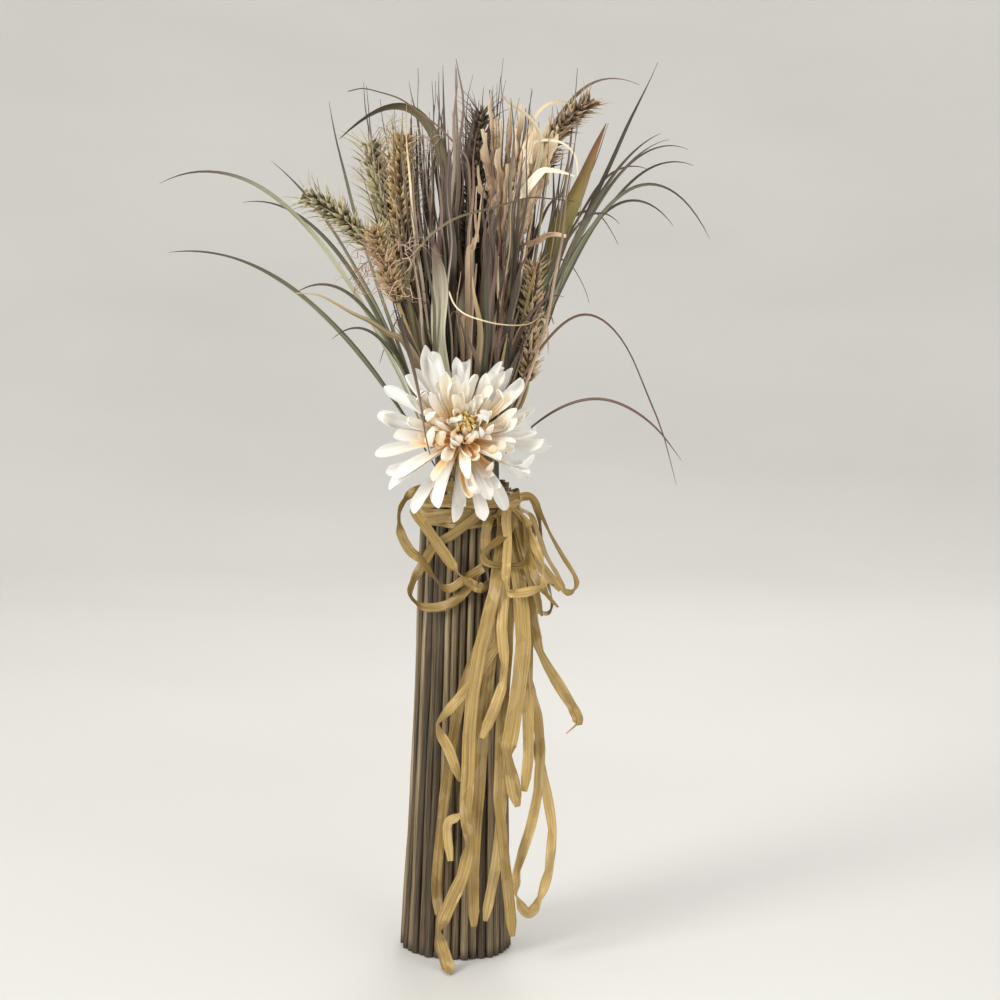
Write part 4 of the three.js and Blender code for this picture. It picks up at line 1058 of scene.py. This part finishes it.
# The husks: a bunch of papery bracts, as round an ear of maize, on one stem. They are thin and cupped,
# ripple along their edges and curl over at their tips, and thin curls of the same skin hang among them.
papery_skin = fibrous(
    "papery_husk", ["4a3527", "917255", "c8aa88", "f2e4cb"], fibre=0.5, run=22, root=("6f5744", 0.45),
    tip=("dfcaa6", 0.3), bump=0.4, roughness=0.6, crumple=0.7,
)
husk_sliver = fibrous(
    "husk_sliver", ["8a6c52", "c2a482", "e6d3b2"], fibre=0.5, run=22, root=("43352a", 0.95), bump=0.4,
    roughness=0.6,
)
pale_curl = fibrous("pale_curl", ["c9b48e", "e6d9bd", "f5eedd"], fibre=1.1, run=60, bump=0.3, roughness=0.6)
HUSK_COUNT = 24
husk_cell = cell_centre(1, 300)
husk_foot = np.array([20.0, -16, 450])


def papery_husk(skin, sideways, forward, length, width, seed):
    lean = unit(np.array([math.sin(math.radians(sideways)), -math.sin(math.radians(forward)), 1]))
    low = husk_foot - [0, 0, 6]
    tip = husk_foot + lean * length + [sideways * 0.25, forward * 0.2, 0]
    middle = husk_foot + lean * length * 0.5
    t = np.linspace(0, 1, 41)[:, None]
    line = low * (1 - t) ** 2 + 2 * middle * t * (1 - t) + tip * t**2
    t = t[:, 0]
    facing = unit(np.array([0.3 * math.sin(seed), -1, 0.1]))
    line = line + facing * (1.8 * wander(t * length, seed, 44) * t)[:, None]
    line = line + np.array([1, 0, 0]) * (1.0 * wander(t * length, seed + 6, 50) * t)[:, None]
    half = width / 2 * np.interp(t, [0, 0.25, 0.5, 0.85, 1], [0.4, 0.8, 1, 0.8, 0.15 + 0.4 * chance(seed)])
    half = half * (1 + 0.25 * wander(t * length, seed + 4, 15))
    turn = (spread(seed + 20, 60) + spread(seed + 30, 90) * t**1.5) * math.pi / 180
    side = np.stack([np.cos(turn), np.sin(turn), 0 * t], axis=1)
    cup = -half * (0.4 + 0.6 * wander(t * length, seed + 2, 30))
    skin.sweep(line, side, strip(half, 0.45, cup, 0.25, seed + t[:, None] * 6, 11), chance(seed + 8))


WHITE_CURL = [
    (22, -20, 484), (25, -22, 490), (31, -26, 493), (35, -29, 499), (43, -31, 508), (49, -32, 509),
    (57, -32, 508), (64, -31, 506),
]
THIN_CURL = [
    (36, -18, 515), (36, -18, 523), (39, -20, 528), (47, -24, 529), (56, -27, 527), (62, -28, 522),
    (65, -28, 516), (66, -27, 507),
]
BRACT = [(24, -14, 458), (33, -17, 462), (43, -20, 466), (47, -20, 469), (53, -20, 470), (60, -20, 469)]
HIGH_CURL = [(26, -16, 480), (31, -19, 515), (36, -23, 540), (45, -27, 551), (57, -28, 553), (61, -28, 547)]
CROSSED_CURL = [
    (30, -14, 480), (40, -18, 512), (42, -22, 530), (34, -26, 543), (22, -28, 551), (17, -28, 556),
]
SLIVERS = 9
SLIVER_HEIGHTS = (0, 14, 28)
skin = Skin(papery_skin)
packed_stem(skin, husk_cell, stem_foot(43), 263, straw_stem)
ear_stalk(skin, husk_cell, husk_foot, unit(np.array([0.1, -0.05, 1])), 1.5, 77)
for i in range(HUSK_COUNT):
    across = i * 0.618 % 1
    outer = 1 if i % 3 else 0.72
    papery_husk(
        skin, -11 + 32 * across + spread(i, 2), spread(i + 40, 15), (100 + spread(i + 60, 16)) * outer,
        5 + 6 * chance(i + 80), i + 300,
    )
for i in range(SLIVERS):
    # slivers of husk that are caught lower down among the blades
    low = np.array([8 + spread(i + 410, 22), -22 + spread(i + 420, 8), 400 + 62 * chance(i + 430)])
    up = np.array([0.1 + spread(i + 440, 0.14), -0.05, 1])
    heights = (*SLIVER_HEIGHTS, 38 + 14 * chance(i + 450))
    sliver = [low + up * h + [spread(i * 3 + h, 1.6), 0, 0] for h in heights]
    points = [husk_cell + [0, 0, 306], *sliver]
    loose_curl(skin, points, [1, 1.2, 3.6, 3.2, 0.8], (spread(i, 0.6), -1, 0), i + 330, husk_sliver)
loose_curl(skin, WHITE_CURL, [3, 5, 6.5, 6, 3.5, 1], (0.2, -0.75, 0.65), 311, pale_curl)
loose_curl(skin, THIN_CURL, [2, 3, 3, 2, 1.4, 0.8], (0.2, -0.75, 0.65), 312, pale_curl)
loose_curl(skin, BRACT, [2, 4, 4.5, 3.5, 2.5], (0.1, -0.9, 0.4), 313, papery_skin)
loose_curl(skin, HIGH_CURL, [3, 4, 4, 3, 2, 1], (0.3, -0.9, 0.3), 319, bleached_grass)
loose_curl(skin, CROSSED_CURL, [3, 4, 3.5, 3, 2, 1], (0.3, -0.9, 0.3), 320, bleached_grass)
low_blades = [mauve_grass, mauve_grass, mauve_grass, red_grass, bleached_grass]
tuft(skin, husk_cell, 275, 24, 9900, low_blades, 3.2, 80, (14, 50), (390, 470))
tuft(skin, husk_cell, 300, 5, 9950, [mauve_grass, mauve_grass, red_grass], 2, 60, (14, 50), (490, 550))
skin.piece("husk_bunch")

# The bloom: a large cream flower of spoon-shaped petals in layers, peach at their roots and amber on its
# lower left, with a heart of small curled golden ones. A green cup behind it holds them, on a stem that
# bends down into the sheaf.
BLOOM_CENTRE = np.array([-3.0, -52, 340])
BLOOM_AXIS = unit(np.array([0.1, -0.9, 0.42]))
BLOOM_SIDE = unit(np.cross(UPRIGHT, BLOOM_AXIS))
BLOOM_UP = np.cross(BLOOM_AXIS, BLOOM_SIDE)
AMBER_SIDE = unit(np.array([-0.45, 0, -1]))
CORE_RADIUS, HEART_RADIUS = 11, 6


def petal_finish(name, shades, run, root):
    return fibrous(
        name, shades, fibre=1.2, run=run, root=root, bump=0.2, roughness=0.5, sheen=0.15, glow=0.5
    )


cream_petal = petal_finish("cream_petal", ["d9d5ca", "e7e4dc", "efede7", "f5f3ee"], 40, ("ffc02e", 0.55))
# The inner layers take a lighter copy of the cream petal. This is painted light, brighter to make up for the
# shade deep among the packed petals. Its peach root is the flower's own colour.
peach_petal_painted_light = petal_finish("peach_petal_painted_light", ["f6ebd3", "faf2df", "fcf6e9", "fdf9f0"], 30, ("ffc544", 0.85))
amber_petal = petal_finish("amber_petal", ["fae3b4", "fbecca", "fcf3de", "fdf8ec"], 30, ("ffa50f", 1.2))
LAYERS = [
    # petals, reach, how far the layer leans forward in degrees, petal width
    [15, 57, -6, 9], [14, 53, 14, 9], [12, 45, 34, 8], [8, 36, 54, 7],
]
BETWEEN = [
    [12, 52, 4, 7.5], [13, 45, 23, 7], [15, 38, 38, 6.2], [16, 31, 50, 5.6], [16, 25, 60, 5],
    [13, 20, 68, 4.4], [10, 16, 76, 4],
]


def spoke(angle):
    return BLOOM_SIDE * math.cos(angle) + BLOOM_UP * math.sin(angle)


def petal(skin, angle, reach, forward, width, seed, finish=None):
    """A spoon of a petal: a gutter from its root that opens into a cupped, rounded end, which curls in or
    falls back"""
    radial = spoke(angle)
    rise, level = math.sin(math.radians(forward)), math.cos(math.radians(forward))
    out = radial * level + BLOOM_AXIS * rise
    over = BLOOM_AXIS * level - radial * rise

    def at(far, up):
        return BLOOM_CENTRE + out * far + over * up

    lift = reach * (0.1 + spread(seed + 50, 0.24))
    sag = reach * (0.05 + spread(seed + 55, 0.08))
    line = bezier(at(4, 0), at(reach * 0.42, -sag), at(reach * 0.84, -sag), at(reach, lift), 24, 1.7)
    t = along(line) / along(line)[-1]
    line = line + np.cross(BLOOM_AXIS, radial) * (spread(seed + 60, 0.13) * reach * t**2)[:, None]
    hook = np.clip((t - 0.68) / 0.32, 0, 1) ** 2 * (0.03 + spread(seed + 75, 0.14)) * reach
    line = line + over * hook[:, None] - out * np.abs(hook * 0.5)[:, None]
    full = 0.84 + spread(seed + 65, 0.06)
    half = width / 2 * np.interp(t, [0, 0.25, 0.5, 0.68, full], [0.34, 0.44, 0.64, 0.9, 0.96])
    half = half * (1 - 0.98 * np.clip((t - full) / (1 - full), 0, 1) ** 2) ** (0.5 + 0.25 * chance(seed + 66))
    cup = half * np.interp(t, [0, 0.3, 0.7, 1], [1.4, 1.3, 0.95 + spread(seed + 70, 0.35), 0.6])
    twist = math.radians(spread(seed + 80, 44)) * t
    side = np.cross(radial, BLOOM_AXIS)
    ahead = unit(np.gradient(line, axis=0))
    side = side * np.cos(twist)[:, None] + np.cross(ahead, side) * np.sin(twist)[:, None]
    section = strip(half, 0.85 - 0.3 * t, cup, 0.1, seed, 11)
    skin.sweep(line, side, section, 0.3 + 0.7 * chance(seed + 90), finish)


def core(skin, centre, radius):
    """The rounded core that the petals grow from"""
    t = np.linspace(0.02, math.pi - 0.02, 14)
    line = centre - BLOOM_AXIS * (np.cos(t) * radius)[:, None]
    skin.sweep(line, BLOOM_SIDE, round_section(np.sin(t) * radius, 20, 0), 0.5)


skin = Skin(cream_petal)
core(skin, BLOOM_CENTRE, CORE_RADIUS * 0.9)
for layer, (count, reach, forward, width) in enumerate(LAYERS):
    for i in range(count):
        n = layer * 20 + i
        angle = ((i + layer * 0.5) / count) * 2 * math.pi + spread(n + 300, 0.05)
        own_reach = reach * (1 + spread(n + 340, 0.07)) + spoke(angle).dot([-2, 0, 2.5])
        # the inner layers take the lighter copy, painted light against the shade deep in the bloom
        finish = peach_petal_painted_light if layer > 1 else cream_petal
        petal(skin, angle, own_reach, forward + spread(n + 380, 9), width, n, finish)
for layer, (count, reach, forward, width) in enumerate(BETWEEN):
    for i in range(count):
        n = 400 + layer * 20 + i
        angle = ((i + layer * 0.37) / count) * 2 * math.pi + spread(n, 0.2)
        amber = 0 < layer < 6 and spoke(angle).dot(AMBER_SIDE) + spread(n + 5, 0.5) > 0.35
        # the inner layers take the lighter copy, painted light against the shade deep in the bloom
        finish = peach_petal_painted_light if layer > 0 else cream_petal
        own_reach = reach * (1 + spread(n + 1, 0.14))
        petal(
            skin, angle, own_reach, forward + spread(n + 2, 10), width, n, amber_petal if amber else finish
        )
skin.piece("bloom_petals")

HEART_RINGS = [
    # petals, reach, petal width
    (10, 9, 3.4), (8, 6.5, 3), (6, 4, 2.6), (4, 2, 2.2),
]
golden_petal = fibrous(
    "golden_petal", ["cf9c34", "ebc062", "f8dd9c", "fcf1d0"], fibre=1.2, run=20, root=("e3a436", 0.5),
    bump=0.12, roughness=0.5, glow=0.5,
)
heart_centre = BLOOM_CENTRE + BLOOM_AXIS * ((CORE_RADIUS + HEART_RADIUS) * 0.945 + 0.3) + BLOOM_UP * 2.5


def heart_petal(skin, ring, i, count, reach, width):
    """A small petal that stands up from the heart and curls in over its middle"""
    radial = spoke((i + ring * 0.5) / count * 2 * math.pi + 0.2 + spread(ring * 9 + i, 0.1))

    def at(far, up):
        return heart_centre + radial * far + BLOOM_AXIS * up

    reach = reach * (1 + spread(ring * 13 + i, 0.12))
    high = 5.5 + 3 * ring * chance(ring * 7 + i) + spread(i + 3, 1.5)
    curl_in = 0.55 + spread(ring * 21 + i, 0.35)
    line = bezier(at(1, -2), at(reach, 1), at(reach, high * 0.8), at(reach * curl_in, high), 12)
    half = width / 2 * np.interp(np.linspace(0, 1, 13), [0, 0.5, 0.85, 1], [0.5, 1, 0.8, 0.3])
    side = np.cross(radial, BLOOM_AXIS)
    skin.sweep(line, side, strip(half, 0.6, half * 0.7, 0.05, i, 7), chance(ring * 17 + i))


skin = Skin(golden_petal)
core(skin, heart_centre, HEART_RADIUS * 0.6)
for ring, (count, reach, width) in enumerate(HEART_RINGS):
    for i in range(count):
        heart_petal(skin, ring, i, count, reach, width)
skin.piece("bloom_heart")

SEPALS = 10
CUP_DEPTH = 6
green_cup = fibrous(
    "green_calyx", ["4a4d2d", "737848", "939663"], fibre=0.8, run=20, bump=0.3, roughness=0.65
)
bloom_cell = cell_centre(2, 270)
cup_face = BLOOM_CENTRE - BLOOM_AXIS * (CORE_RADIUS + 0.3)
skin = Skin(green_cup)
packed_stem(skin, bloom_cell, stem_foot(44), 264)
neck = bezier(
    bloom_cell + [0, 0, FAN_HEIGHT - ROOT_DEPTH], bloom_cell + [0, 0, FAN_HEIGHT + 14],
    cup_face - BLOOM_AXIS * 14, cup_face - BLOOM_AXIS * 2, 20,
)
skin.sweep(neck, SIDEWAYS, round_section([2.2] * 21, 12, 0.05, 1), 0.4)
t = np.linspace(0, 1, 10)
cup_line = cup_face - BLOOM_AXIS * (CUP_DEPTH * (1 - t))[:, None]
skin.sweep(cup_line, BLOOM_SIDE, round_section(3 + 5 * t**0.7, 20, 0.06, 2), 0.6)
for i in range(SEPALS):
    radial = spoke(i / SEPALS * 2 * math.pi)
    line = bezier(
        cup_face - BLOOM_AXIS * 5 + radial * 3, cup_face - BLOOM_AXIS * 4.5 + radial * 7,
        cup_face - BLOOM_AXIS * 2 + radial * 10, cup_face + BLOOM_AXIS * 0.5 + radial * 13, 8,
    )
    half = 2.4 * np.interp(np.linspace(0, 1, 9), [0, 0.5, 1], [0.7, 1, 0.1])
    skin.sweep(line, np.cross(radial, BLOOM_AXIS), strip(half, 0.5, half * 0.3, 0.05, i, 7), chance(i))
skin.piece("bloom_calyx")
